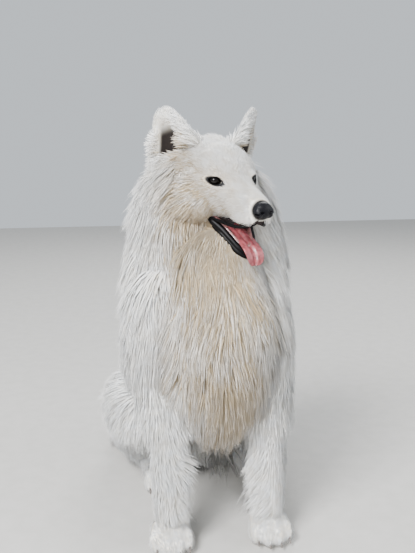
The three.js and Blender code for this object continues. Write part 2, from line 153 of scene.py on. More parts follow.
def activate(obj: bpy.types.Object) -> None:
    """Select one object and make it active.

    Args:
        obj: The object to work on.
    """
    clear_selection()
    obj.select_set(True)
    bpy.context.view_layer.objects.active = obj


def apply_modifier(obj: bpy.types.Object, kind: str, **settings: object) -> None:
    """Add a modifier and apply it.

    Args:
        obj: The mesh object that takes it.
        kind: The modifier's type.
        **settings: Its properties.
    """
    activate(obj)
    modifier = obj.modifiers.new(kind.title(), kind)
    for key, value in settings.items():
        setattr(modifier, key, value)
    bpy.ops.object.modifier_apply(modifier=modifier.name)


def join(objects: list[bpy.types.Object], name: str) -> bpy.types.Object:
    """Join mesh objects into one.

    Args:
        objects: The objects, of which the first is kept.
        name: The name of the result.

    Returns:
        The joined object.
    """
    clear_selection()
    for obj in objects:
        obj.select_set(True)
    bpy.context.view_layer.objects.active = objects[0]
    if len(objects) > 1:
        bpy.ops.object.join()
    objects[0].name = objects[0].data.name = name
    return objects[0]


def settle(obj: bpy.types.Object, matrix: Matrix) -> None:
    """Put an object's own transform and a matrix into its mesh.

    Args:
        obj: The object.
        matrix: What takes its frame to the new one.
    """
    obj.data.transform(matrix @ obj.matrix_basis)
    obj.matrix_basis = Matrix.Identity(4)


def ball(
    at: tuple, radii: tuple, turn: float = 0, tilt: float = 0, segments: int = 20
) -> bpy.types.Object:
    """Add a round form with three radii.

    Args:
        at: Its centre in mm.
        radii: Its radii in mm.
        turn: Its turn about Z.
        tilt: Its turn about X, made first.
        segments: How many segments run round it.

    Returns:
        The new object.
    """
    bpy.ops.mesh.primitive_uv_sphere_add(
        segments=segments, ring_count=max(6, segments * 2 // 3), radius=1, location=at
    )
    obj = bpy.context.object
    obj.rotation_euler = Euler((tilt, 0, turn))
    obj.scale = radii
    bpy.context.view_layer.update()
    return obj


def side_ball(form: tuple, sense: int, turn: float = 0, segments: int = 20) -> bpy.types.Object:
    """Add a round form on one side of the head.

    Args:
        form: Its centre on the left side and its radii, in mm.
        sense: 1 for the left side, -1 for the right.
        turn: Its turn about Z on the left side.
        segments: How many segments run round it.

    Returns:
        The new object.
    """
    (x, y, z), radii = form
    return ball((sense * x, y, z), radii, turn=sense * turn, segments=segments)


def tube(
    points: list[tuple], radius: float, name: str, taper: bool = True, closed: bool = False
) -> bpy.types.Object:
    """Add a round tube along a smooth line, as a mesh.

    Args:
        points: The line's points in mm.
        radius: The tube's radius in mm.
        name: The object's name.
        taper: Whether both ends run out thin.
        closed: Whether the line closes on itself.

    Returns:
        The new object.
    """
    curve = bpy.data.curves.new(name, "CURVE")
    curve.dimensions = "3D"
    curve.bevel_depth = radius
    curve.bevel_resolution = 3
    curve.resolution_u = 6
    curve.use_fill_caps = True
    spline = curve.splines.new("BEZIER")
    spline.bezier_points.add(len(points) - 1)
    for i, (point, place) in enumerate(zip(spline.bezier_points, points)):
        point.co = place
        point.handle_left_type = point.handle_right_type = "AUTO"
        end = min(i, len(points) - 1 - i)
        point.radius = min(1.0, TUBE_END + (1 - TUBE_END) * end) if taper else 1
    spline.use_cyclic_u = closed
    obj = bpy.data.objects.new(name, curve)
    bpy.context.scene.collection.objects.link(obj)
    activate(obj)
    bpy.ops.object.convert(target="MESH")
    return bpy.context.object


def loft(rings: np.ndarray, name: str) -> bpy.types.Object:
    """Add a closed surface through rings of points, with a point at each end.

    Args:
        rings: Points in mm, shaped (rings, sides, 3).
        name: The object's name.

    Returns:
        The new object.
    """
    count, sides, _ = rings.shape
    vertices = [tuple(p) for p in rings.reshape(-1, 3)]
    vertices += [tuple(rings[0].mean(0)), tuple(rings[-1].mean(0))]
    faces = []
    for s in range(sides):
        n = (s + 1) % sides
        faces.append((count * sides, n, s))
        faces.append((count * sides + 1, (count - 1) * sides + s, (count - 1) * sides + n))
        for r in range(count - 1):
            faces.append((r * sides + s, r * sides + n, (r + 1) * sides + n, (r + 1) * sides + s))
    mesh = bpy.data.meshes.new(name)
    mesh.from_pydata(vertices, [], faces)
    obj = bpy.data.objects.new(name, mesh)
    bpy.context.scene.collection.objects.link(obj)
    activate(obj)
    bpy.ops.object.mode_set(mode="EDIT")
    bpy.ops.mesh.select_all(action="SELECT")
    bpy.ops.mesh.normals_make_consistent(inside=False)
    bpy.ops.object.mode_set(mode="OBJECT")
    return obj


def cut(obj: bpy.types.Object, cutter: bpy.types.Object) -> None:
    """Cut one mesh with another, which is then removed.

    Args:
        obj: The mesh that stays.
        cutter: What is taken away from it.
    """
    apply_modifier(obj, "BOOLEAN", object=cutter, operation="DIFFERENCE", solver="EXACT")
    bpy.data.objects.remove(cutter)


def remesh(obj: bpy.types.Object, voxel: float, rounds: int) -> None:
    """Fuse a mesh into one smooth skin.

    Args:
        obj: The joined forms.
        voxel: The size of the new mesh's squares in mm.
        rounds: How many rounds of smoothing follow.
    """
    apply_modifier(obj, "REMESH", mode="VOXEL", voxel_size=voxel, use_smooth_shade=True)
    if rounds:
        apply_modifier(obj, "SMOOTH", factor=0.5, iterations=rounds)


# Finishes


class Finish(Enum):
    """The finishes that the pieces take."""

    COAT = "coat"
    SKIN = "skin"
    NOSE = "nose"
    LIP = "lip"
    TONGUE = "tongue"
    TOOTH = "tooth"
    MOUTH = "mouth"
    GUM = "gum"
    CLAW = "claw"
    EYE = "eye"
    FLOOR = "floor"


@dataclass(frozen=True)
class Surface:
    """One finish: its two colours, gloss and relief, with its depths in metres."""

    color: tuple
    deep: tuple
    roughness: float
    scale: float
    bump: float = 0.3
    depth: float = 0.0006
    coat: float = 0.0
    subsurface: float = 0.0
    shine: float = 0.5
    glow_depth: float = 0.004
    detail: float = 6
    blend: tuple = (0.35, 0.65)

    def material(self, name: str) -> bpy.types.Material:
        """Make the material.

        Args:
            name: The material's name.

        Returns:
            A material that mixes two colours by noise, with a matching relief.
        """
        made = bpy.data.materials.new(name)
        made.use_nodes = True
        nodes, links = made.node_tree.nodes, made.node_tree.links
        shader = nodes["Principled BSDF"]
        shader.inputs["Roughness"].default_value = self.roughness
        shader.inputs["Coat Weight"].default_value = self.coat
        shader.inputs["Specular IOR Level"].default_value = self.shine
        shader.inputs["Subsurface Weight"].default_value = self.subsurface
        shader.inputs["Subsurface Scale"].default_value = self.glow_depth
        place = nodes.new("ShaderNodeTexCoord")
        noise = nodes.new("ShaderNodeTexNoise")
        noise.inputs["Scale"].default_value = self.scale
        noise.inputs["Detail"].default_value = self.detail
        links.new(place.outputs["Object"], noise.inputs["Vector"])
        ramp = nodes.new("ShaderNodeValToRGB")
        for i, colour in enumerate((self.deep, self.color)):
            ramp.color_ramp.elements[i].position = self.blend[i]
            ramp.color_ramp.elements[i].color = (*colour, 1)
        links.new(noise.outputs["Fac"], ramp.inputs["Fac"])
        links.new(ramp.outputs["Color"], shader.inputs["Base Color"])
        relief = nodes.new("ShaderNodeBump")
        relief.inputs["Strength"].default_value = self.bump
        relief.inputs["Distance"].default_value = self.depth
        links.new(noise.outputs["Fac"], relief.inputs["Height"])
        links.new(relief.outputs["Normal"], shader.inputs["Normal"])
        return made


@dataclass(frozen=True)
class CoatColours:
    """The coat's colours and gloss, read by the tufts' and the skin's own attributes."""

    tip: tuple = (0.97, 0.955, 0.91)
    # The roots are a darker cream than the tips: partly the undercoat's own tone, partly painted shade
    # deep in the coat
    root: tuple = (0.74, 0.68, 0.57)
    biscuit: tuple = (0.37, 0.265, 0.15)
    cool: tuple = (0.90, 0.92, 0.93)
    bare: tuple = (0.004, 0.004, 0.005)
    # Near-black red inside the mouth: the flesh's own red, painted dark as the shade there
    mouth: tuple = (0.010, 0.004, 0.004)
    # Near-black in the ears' cups: painted shade in the hollows of the ears
    ear: tuple = (0.009, 0.006, 0.005)
    roughness: float = 0.75
    shine: float = 0.25
    sheen: tuple = (0.25, 0.5)
    glow: float = 0.6
    glow_radius: tuple = (1.0, 0.9, 0.8)
    glow_depth: float = 0.006
    patches: tuple = (55, 3)
    patch_range: tuple = (0.35, 0.75)
    relief: tuple = (0.4, 0.001)

    def material(self, name: str, skin: bool) -> bpy.types.Material:
        """Make the coat's material.

        Args:
            name: The material's name.
            skin: Whether it is for the skin, which also has dark bare places.

        Returns:
            A material that follows the attributes along and stain on the tufts, and stain, ear, bare
            and mouth on the skin. The darker roots along each tuft are partly painted shade, and ear
            and mouth paint shade into the ears' cups and the inside of the mouth.
        """
        made = bpy.data.materials.new(name)
        made.use_nodes = True
        nodes, links = made.node_tree.nodes, made.node_tree.links
        shader = nodes["Principled BSDF"]
        shader.inputs["Roughness"].default_value = self.roughness
        shader.inputs["Specular IOR Level"].default_value = self.shine
        shader.inputs["Sheen Weight"].default_value = 0.0 if skin else self.sheen[0]
        shader.inputs["Sheen Roughness"].default_value = self.sheen[1]
        if not skin:
            shader.inputs["Subsurface Weight"].default_value = self.glow
            shader.inputs["Subsurface Radius"].default_value = self.glow_radius
            shader.inputs["Subsurface Scale"].default_value = self.glow_depth

        def attribute(key: str) -> bpy.types.NodeSocket:
            """Return the socket of a named attribute's value."""
            node = nodes.new("ShaderNodeAttribute")
            node.attribute_name = key
            return node.outputs["Fac"]

        def mix(factor: bpy.types.NodeSocket, a: object, b: tuple) -> bpy.types.NodeSocket:
            """Mix two colours.

            Args:
                factor: The socket of the share of b.
                a: The first colour, as a tuple or a socket.
                b: The second colour.

            Returns:
                The socket of the mix.
            """
            node = nodes.new("ShaderNodeMix")
            node.data_type = "RGBA"
            links.new(factor, node.inputs["Factor"])
            if isinstance(a, tuple):
                node.inputs[6].default_value = (*a, 1)
            else:
                links.new(a, node.inputs[6])
            node.inputs[7].default_value = (*b, 1)
            return node.outputs[2]

        place = nodes.new("ShaderNodeTexCoord")
        noise = nodes.new("ShaderNodeTexNoise")
        noise.inputs["Scale"].default_value, noise.inputs["Detail"].default_value = self.patches
        links.new(place.outputs["Object"], noise.inputs["Vector"])
        ramp = nodes.new("ShaderNodeMapRange")
        ramp.inputs["From Min"].default_value, ramp.inputs["From Max"].default_value = self.patch_range
        links.new(noise.outputs["Fac"], ramp.inputs["Value"])
        if skin:
            colour = mix(ramp.outputs["Result"], self.root, self.tip)
        else:
            # Each tuft darkens towards its root: partly the undercoat's cream, partly painted shade
            # deep in the coat
            colour = mix(attribute("along"), self.root, self.tip)
            colour = mix(ramp.outputs["Result"], colour, self.cool)
        colour = mix(attribute("stain"), colour, self.biscuit)
        if skin:
            # ear paints shade into the ears' cups and mouth paints the shade inside the mouth; bare is
            # the black skin of the rims, nose and lips
            for key, dark in (("ear", self.ear), ("bare", self.bare), ("mouth", self.mouth)):
                colour = mix(attribute(key), colour, dark)
            bump = nodes.new("ShaderNodeBump")
            bump.inputs["Strength"].default_value, bump.inputs["Distance"].default_value = self.relief
            links.new(noise.outputs["Fac"], bump.inputs["Height"])
            links.new(bump.outputs["Normal"], shader.inputs["Normal"])
        links.new(colour, shader.inputs["Base Color"])
        return made


SURFACES = {
    Finish.NOSE: Surface(
        (0.005, 0.005, 0.007), (0.001, 0.001, 0.002), roughness=0.38, scale=700,
        bump=0.6, depth=0.0008, shine=0.16,
    ),
    Finish.LIP: Surface(
        (0.004, 0.0035, 0.004), (0.001, 0.001, 0.001), roughness=0.4, scale=300,
        bump=0.3, depth=0.0005, shine=0.1,
    ),
    Finish.TONGUE: Surface(
        (0.32, 0.07, 0.08), (0.15, 0.03, 0.035), roughness=0.4, scale=160,
        bump=0.5, depth=0.0008, coat=0.15, subsurface=0.1,
    ),
    Finish.TOOTH: Surface(
        (0.80, 0.76, 0.64), (0.66, 0.58, 0.42), roughness=0.25, scale=120,
        bump=0.1, depth=0.0002, coat=0.3,
    ),
    Finish.CLAW: Surface(
        (0.14, 0.115, 0.10), (0.06, 0.05, 0.045), roughness=0.35, scale=200,
        bump=0.2, depth=0.0003, coat=0.2,
    ),
    Finish.EYE: Surface(
        (0.003, 0.0018, 0.0014), (0.001, 0.001, 0.001), roughness=0.03, scale=90,
        bump=0.0, depth=0.0001, shine=0.22,
    ),
    # The back and roof of the mouth: dark red flesh, painted near-black as the shade inside the mouth
    Finish.MOUTH: Surface(
        (0.016, 0.005, 0.005), (0.006, 0.002, 0.002), roughness=0.5, scale=150,
        bump=0.4, depth=0.0008, coat=0.2,
    ),
    Finish.GUM: Surface(
        (0.30, 0.12, 0.11), (0.10, 0.05, 0.05), roughness=0.35, scale=200,
        bump=0.3, depth=0.0005, coat=0.3,
    ),
    Finish.FLOOR: Surface(
        (0.47, 0.46, 0.44), (0.44, 0.43, 0.41), roughness=0.8, scale=30, bump=0.05, depth=0.0005,
    ),
}


class Wardrobe:
    """Makes each finish once and dresses pieces with it."""

    def __init__(self) -> None:
        """Make the materials."""
        self.made = {kind: surface.material(kind.value) for kind, surface in SURFACES.items()}
        self.made[Finish.COAT] = CoatColours().material("coat", skin=False)
        self.made[Finish.SKIN] = CoatColours().material("skin", skin=True)

    def dress(
        self, obj: bpy.types.Object, finish: Finish, matrix: Matrix, *nodes: str
    ) -> bpy.types.Object:
        """Finish a piece: its place, material, body and the nodes that it stands for.

        Args:
            obj: The piece.
            finish: Its finish.
            matrix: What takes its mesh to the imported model's frame.
            *nodes: The nodes that it replaces.

        Returns:
            The piece.
        """
        settle(obj, matrix)
        obj.data.materials.clear()
        obj.data.materials.append(self.made[finish])
        obj.data.polygons.foreach_set("use_smooth", [True] * len(obj.data.polygons))
        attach(obj, "root")
        if nodes:
            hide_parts(*nodes)
        LOG.info("%s: %d faces", obj.name, len(obj.data.polygons))
        return obj


# The body's forms


@dataclass(frozen=True)
class Limb:
    """A body part as sections (x, y, z, skin radius, coat depth) along a smooth line."""

    name: str
    sections: tuple
    flat: float = 1.0  # how many times wider than deep it is
    steps: int = 24

    @property
    def kind(self) -> str:
        """Return the limb's name without its side."""
        return self.name.replace("_left", "").replace("_right", "")

    def table(self) -> np.ndarray:
        """Read the sections smoothly at even steps.

        Returns:
            The sections, shaped (steps + 1, 5).
        """
        s = np.array(self.sections, float)
        ends = np.vstack([2 * s[0] - s[1], s, 2 * s[-1] - s[-2]])
        place = np.linspace(0, len(s) - 1, self.steps + 1)
        i = np.minimum(place.astype(int), len(s) - 2)
        t = (place - i)[:, None]
        a, b, c, d = ends[i], ends[i + 1], ends[i + 2], ends[i + 3]
        return 0.5 * (
            2 * b + (c - a) * t + (2 * a - 5 * b + 4 * c - d) * t**2 + (3 * b - a - 3 * c + d) * t**3
        )

    def measure(self, points: np.ndarray) -> tuple[np.ndarray, np.ndarray, np.ndarray]:
        """Measure points against the skin of this limb.

        Args:
            points: Points in mm, shaped (n, 3).

        Returns:
            The distance from the skin, the place along the limb from 0 to 1, and the angle round it.
        """
        table = self.table()
        squeeze = np.array([1 / self.flat, 1, 1])
        p = points * squeeze
        best = np.full(len(p), np.inf)
        along = np.zeros(len(p))
        angle = np.zeros(len(p))
        for i in range(self.steps):
            a, b = table[i, :3] * squeeze, table[i + 1, :3] * squeeze
            axis = b - a
            h = np.clip(((p - a) @ axis) / (axis @ axis), 0, 1)
            offset = p - (a + h[:, None] * axis)
            d = np.linalg.norm(offset, axis=1) - (table[i, 3] + h * (table[i + 1, 3] - table[i, 3]))
            closer = d < best
            best[closer] = d[closer]
            along[closer] = ((i + h) / self.steps)[closer]
            side = np.cross(axis, ROUND_FROM)
            side /= np.linalg.norm(side) + 1e-9
            up = np.cross(axis / np.linalg.norm(axis), side)
            angle[closer] = np.arctan2(offset @ up, offset @ side)[closer]
        return best, along, angle

    def balls(self) -> list[bpy.types.Object]:
        """Add the limb's skin as a chain of overlapping balls."""
        return [
            ball((x, y, z), (r * self.flat, r, r), segments=28) for x, y, z, r, _ in self.table()
        ]


def mirrored(sections: tuple, sense: int) -> tuple:
    """Return sections with X times sense."""
    return tuple((sense * x, *rest) for x, *rest in sections)


def leaning(sections: tuple, lean: tuple) -> tuple:
    """Return sections with each X moved by its own lean."""
    return tuple((x + move, *rest) for (x, *rest), move in zip(sections, lean))


# How far each section of a foreleg stands to the dog's left of its even place
LEG_LEAN = (-11, -8, -3, 0, 0, 0)
FORELEG = (
    (62, 66, 440, 52, 42), (76, 54, 380, 46, 42), (85, 56, 310, 38, 36), (85, 34, 215, 30, 30),
    (84, 12, 125, 26, 28), (85, 2, 66, 24, 20),
)
THIGH = ((84, 318, 118, 76, 40), (98, 262, 160, 70, 38), (111, 205, 165, 48, 27))
BODY = (
    Limb("neck", (
        (-6, 76, 425, 68, 44), (-6, 104, 500, 70, 42), (-8, 112, 555, 64, 40), (-9, 106, 600, 54, 34),
    ), 1.66),
    Limb("chest", (
        (0, 40, 490, 50, 42), (0, 12, 430, 58, 48), (0, 8, 360, 60, 48), (0, 24, 285, 54, 48),
        (0, 50, 228, 34, 46),
    ), 1.26),
    Limb("torso", (
        (-12, 74, 404, 100, 50), (-14, 120, 345, 112, 52), (-10, 190, 270, 108, 48),
        (-5, 250, 195, 98, 46), (0, 300, 136, 94, 46), (0, 335, 96, 80, 44),
    ), 1.04),
    Limb("tail", (
        (0, 392, 125, 24, 42), (-24, 438, 66, 20, 44), (-80, 456, 38, 18, 42), (-128, 432, 32, 15, 34),
        (-137, 398, 27, 11, 22),
    )),
    Limb("foreleg_left", leaning(mirrored(FORELEG, 1), LEG_LEAN)),
    Limb("foreleg_right", leaning(mirrored(FORELEG, -1), LEG_LEAN)),
    Limb("thigh_left", mirrored(THIGH, 1), 0.9),
    Limb("thigh_right", leaning(mirrored(THIGH, -1), (-6, -4, -1)), 0.9),
    Limb("hind_foot_left", ((100, 300, 40, 20, 18), (112, 240, 31, 19, 14), (119, 186, 26, 21, 10))),
    Limb("hind_foot_right", ((-92, 318, 40, 20, 18), (-88, 280, 31, 19, 14), (-80, 236, 26, 21, 10))),
)


@dataclass
class Paw:
    """A foot's palm, toes and claws."""

    name: str
    at: tuple
    size: float = 1.0
    palm: tuple = (28, 38, 26)
    toes: tuple = ((-27, -17), (-9.8, -28), (9.8, -28), (27, -17))
    toe: tuple = (10.5, 24, 16.5)
    knuckle: tuple = (9.5, 20, 13)
    claw: float = 2.2  # the radius of a claw at its root
    claw_line: tuple = ((0, 0, 0), (0, -8, -3), (0, -12, -8))  # from its root, in mm
    claw_reach: float = 14  # the length that the taper of a claw is measured against, in mm
    claw_taper: tuple = (0.8, 0.6)  # where it ends and how strongly it draws in

    def place(self, x: float, y: float, z: float) -> tuple:
        """Return a place on the foot, in mm, in the modelling frame."""
        return (self.at[0] + x * self.size, self.at[1] + y * self.size, z * self.size)

    def scaled(self, radii: tuple) -> tuple:
        """Return radii at the foot's size."""
        return tuple(radius * self.size for radius in radii)

    def forms(self) -> list[bpy.types.Object]:
        """Add the palm, toes and knuckles as balls.

        Returns:
            The new objects.
        """
        made = [ball(self.place(0, 8, 26), self.scaled(self.palm))]
        for x, y in self.toes:
            made.append(ball(self.place(x, y, 18), self.scaled(self.toe), tilt=0.15))
            made.append(ball(self.place(x * 0.9, y + 18, 27), self.scaled(self.knuckle), tilt=0.5))
        return made

    def claws(self, wardrobe: Wardrobe) -> None:
        """Model the claws, curved and pointed.

        Args:
            wardrobe: The finishes.
        """
        most, draw = self.claw_taper
        made = []
        for x, y in self.toes:
            root = Vector(self.place(x, y - self.toe[1] + 7, 16))
            line = [root + Vector(step) for step in self.claw_line]
            claw = tube([tuple(point) for point in line], self.claw, "claw", taper=False)
            for vertex in claw.data.vertices:
                gone = (root.y - vertex.co.y) / self.claw_reach
                centre = line[1] if gone < most else line[2]
                vertex.co = vertex.co.lerp(centre, max(0, min(most, gone * most)) * draw)
            made.append(claw)
        wardrobe.dress(join(made, "claws_" + self.name), Finish.CLAW, TO_PACKED)


PAWS = (
    Paw("front_left", (PAW_X, 0)),
    Paw("front_right", (-PAW_X, 0)),
    Paw("hind_left", (120, 160), 0.92),
    Paw("hind_right", (-79, 212), 0.92),
)


# The head's forms

# Stations of the skull, jaw and mouth: y, top, bottom, half-width
SKULL = (
    (112, 14, -40, 40), (98, 36, -56, 58), (66, 51, -64, 70), (30, 44, -64, 66),
    (8, 27, -62, 54), (-10, 8, -60, 42), (-28, -1, -60, 33), (-50, -6, -61, 28),
    (-70, -14, -58, 24), (-80, -20, -54, 18),
)
JAW = (
    (52, -60, -88, 28), (30, -60, -94, 34), (8, -64, -100, 32), (-16, -79, -108, 24),
    (-38, -96, -118, 18), (-52, -107, -124, 13),
)
MOUTH = ((14, -62, -64, 33), (-20, -60, -84, 26), (-60, -56, -116, 20), (-110, -52, -154, 22))


def squared(value: np.ndarray, square: float) -> np.ndarray:
    """Return a sine or cosine bent so that a round ring turns a little square."""
    return np.sign(value) * np.abs(value) ** (2 / square)


def station_rings(stations: tuple, sides: int = 28, square: float = 2.2) -> np.ndarray:
    """Return rings of points through stations (y, top, bottom, half-width).

    Args:
        stations: The sections, in mm, from the back to the front.
        sides: How many points a ring has.
        square: The rings' power, where 2 is an ellipse.

    Returns:
        The rings, shaped (stations, sides, 3).
    """
    a = 2 * np.pi * (np.arange(sides) + 0.5) / sides
    rings = []
    for y, top, bottom, half in stations:
        x = half * squared(np.cos(a), square)
        z = (top + bottom) / 2 + (top - bottom) / 2 * squared(np.sin(a), square)
        rings.append(np.stack([x, np.full(sides, float(y)), z], 1))
    return np.array(rings)


@dataclass(frozen=True)
class Ear:
    """The left ear by three corners, in mm, in the head's frame. The right one is its mirror.

    The half-width falls from the base to the tip as a power of the height that is left.
    """

    inner: tuple = (28, 62, 50)
    outer: tuple = (92, 104, 12)
    tip: tuple = (93, 82, 103)
    thick: float = 8
    thinning: float = 0.45
    fall: float = 0.985
    roundness: float = 0.45
    curl: float = 5  # how far the edges stand forward
    lean: float = 3  # how far the tip leans back
    foot: float = -0.3  # how deep the ear starts in the skull, as a share of its height
    sides: int = 18
    stations: tuple = (0.0, 0.15, 0.3, 0.45, 0.6, 0.74, 0.86, 0.94, 0.985)
    cup_shrink: float = 0.26
    cup_start: float = 0.02
    cup_ahead: float = 0.95  # as a share of the thickness

    def axes(self, sense: int = 1) -> tuple[np.ndarray, np.ndarray, np.ndarray, np.ndarray, float]:
        """Return the ear's own axes.

        Args:
            sense: 1 for the left ear, -1 for the right.

        Returns:
            The middle of the base, the ways across, up and ahead, and half the base's width.
        """
        flip = np.array([sense, 1, 1])
        inner, outer, tip = (np.array(at, float) * flip for at in (self.inner, self.outer, self.tip))
        base = (inner + outer) / 2
        across = unit(outer - inner)
        up = tip - base
        front = unit(np.cross(across, up))
        return base, across, up, front * -np.sign(front[1]), np.linalg.norm(outer - inner) / 2

    def form(
        self, sense: int, shrink: float = 0.0, forward: float = 0.0, start: float | None = None
    ) -> bpy.types.Object:
        """Add the ear, or a smaller form in front of it.

        Args:
            sense: 1 for the left ear, -1 for the right.
            shrink: How much smaller than the ear the form is.
            forward: How far it stands in front of the ear, in mm.
            start: Where along the ear it begins, or None for the ear's foot.

        Returns:
            The new object in the head's frame.
        """
        base, across, up, front, half_base = self.axes(sense)
        start = self.foot if start is None else start
        a = 2 * np.pi * np.arange(self.sides) / self.sides
        rings = []
        for share in (start, *(station for station in self.stations if station >= start)):
            height = max(share, 0.0)
            half = half_base * (1 - height * self.fall) ** self.roundness * (1 - shrink)
            thick = self.thick * (1 - shrink) * (1 - self.thinning * height)
            curl = self.curl * np.sin(np.pi * min(1, height + 0.2))
            centre = base + up * share + front * (forward - self.lean * height)
            ring = centre + np.outer(np.cos(a) * half, across) + np.outer(np.sin(a) * thick, front)
            rings.append(ring + np.outer(np.cos(a) ** 2 * curl, front))
        return loft(np.array(rings), "ear")

    def hollowed(self, sense: int) -> bpy.types.Object:
        """Add the ear with the cup cut from its front.

        Args:
            sense: 1 for the left ear, -1 for the right.

        Returns:
            The new object in the head's frame.
        """
        ear = self.form(sense)
        settle(ear, Matrix.Identity(4))
        cut(ear, self.form(sense, self.cup_shrink, self.thick * self.cup_ahead, self.cup_start))
        return ear

    def place(self, local: np.ndarray) -> tuple[np.ndarray, np.ndarray, np.ndarray]:
        """Find points on the ear of their own side.

        Args:
            local: Points in the head's frame, in mm.

        Returns:
            Their height and their place across as shares, and how far ahead of the middle they
            are, in mm.
        """
        base, across, up, front, half = self.axes()
        mirror = np.where(local[:, :1] < 0, -1, 1) * (1, 0, 0) + (0, 1, 1)
        from_base = local * mirror - base
        height = from_base @ up / (up @ up)
        rest = from_base - height[:, None] * up
        left = np.maximum(1 - self.fall * np.clip(height, 0, 1), 0.02)
        share = rest @ across / (half * np.sqrt(left))
        return height, share, rest @ front + self.lean * height - 4 * share**2

    def cup(self, local: np.ndarray) -> np.ndarray:
        """Mark the cups of both ears, where the skin and the tufts are painted darker as the shade in
        the hollows.

        Args:
            local: Points in the head's frame, in mm.

        Returns:
            How far each point lies in a cup, from 0 to 1.
        """
        height, share, ahead = self.place(local)
        reach = smooth(height, -0.02, 0.12) * (1 - smooth(height, 0.45, 0.88))
        narrowed = np.abs(share) + 0.5 * np.clip(height, 0, 1)
        over_skull = local[:, 2] > 26
        return reach * (1 - smooth(narrowed, 0.65, 0.98)) * smooth(ahead, -1, 2) * over_skull


EAR = Ear()


# The skin


@dataclass
class Marking:
    """A soft round mark on the coat: its place in mm, its reach and its strength."""

    at: tuple
    reach: float
    strength: float
    in_head: bool = False

    def read(self, points: np.ndarray) -> np.ndarray:
        """Read the mark at points.

        Args:
            points: Points in the modelling frame, in mm.

        Returns:
            Its strength at each point.
        """
        centre = np.array(HEAD @ Vector(self.at) if self.in_head else self.at, float)
        gap = np.linalg.norm(points - centre, axis=1) / self.reach
        return self.strength * np.exp(-(gap**2))


STAINS = (
    Marking((6, -60, 390), 150, 0.26),
    Marking((0, -10, -20), 80, 0.12, True),
    Marking((-44, 30, -66), 34, 0.85, True),
    Marking((40, 40, -62), 26, 0.3, True),
    Marking((-52, 74, 30), 22, 0.45, True),
    Marking((52, 74, 30), 18, 0.25, True),
    Marking((-48, 26, -20), 52, 0.5, True),
    Marking((-62, 60, 0), 40, 0.35, True),
    Marking((-10, 20, -116), 48, 0.8, True),
    Marking((-40, 20, 530), 62, 0.45),
    Marking((0, -10, 480), 66, 0.6),
    Marking((10, -60, 420), 70, 0.35),
    Marking((15, -60, 330), 56, 0.9),
    Marking((10, -30, 250), 52, 0.9),
    Marking((-60, -10, 350), 40, 0.35),
    Marking((-150, 455, 20), 40, 0.2),
    Marking((PAW_X, 20, 20), 26, 0.2),
    Marking((-PAW_X, 20, 20), 26, 0.2),
)


def stain_at(points: np.ndarray) -> np.ndarray:
    """Return how biscuit-coloured the coat is at points in the modelling frame."""
    return np.clip(sum(mark.read(points) for mark in STAINS), 0, 1)


def bare_at(local: np.ndarray) -> np.ndarray:
    """Mark the bare black places: the rims of the eyes, the nose and the edges of the lips.

    Args:
        local: Points in the head's frame, in mm.

    Returns:
        How bare each point is, from 0 to 1.
    """
    x, y, z = np.abs(local[:, 0]), local[:, 1], local[:, 2]
    eye_x = EYE_X + EYE_R * math.sin(EYE_TURN)
    eye = np.hypot((x - eye_x) / EYE_BARE[0], (z - (x - eye_x) * 0.1) / EYE_BARE[1])
    bare = (1 - smooth(eye, 0.85, 1.05)) * (y < 16)
    nose = np.hypot(x / NOSE_BARE[0], (z - NOSE_Z) / NOSE_BARE[1])
    bare = np.maximum(bare, (1 - smooth(nose, 0.9, 1.1)) * (y < -72))
    lip_z = np.interp(-y, (-12, 16, 38, 56, 66), (-62, -77, -93, -104, -108))
    lower = (np.abs(z - lip_z + 2) < 8) & (y < 10) & (y > -66)
    upper = (z < -54) & (z > -66) & (y < 12) & (x > 14)
    return np.maximum(bare, np.where(lower | upper, 0.9, 0.0))


def mouth_at(local: np.ndarray) -> np.ndarray:
    """Mark the inside of the mouth, where no fur grows and the skin is painted near-black as the shade
    there.

    Args:
        local: Points in the head's frame, in mm.

    Returns:
        1 for the points within it, and 0 for the others.
    """
    x, y, z = np.abs(local[:, 0]), local[:, 1], local[:, 2]
    top = np.interp(-y, (-20, 20, 60, 80), (-61, -58, -54, -50))
    low = np.interp(-y, (-14, 20, 60), (-62, -82, -112))
    half = np.interp(-y, (-14, 20, 60, 84), (31, 24, 17, 12))
    inside = (z < top + 1) & (z > low - 1) & (x < half) & (y < 16) & (y > -80)
    return inside.astype(float)


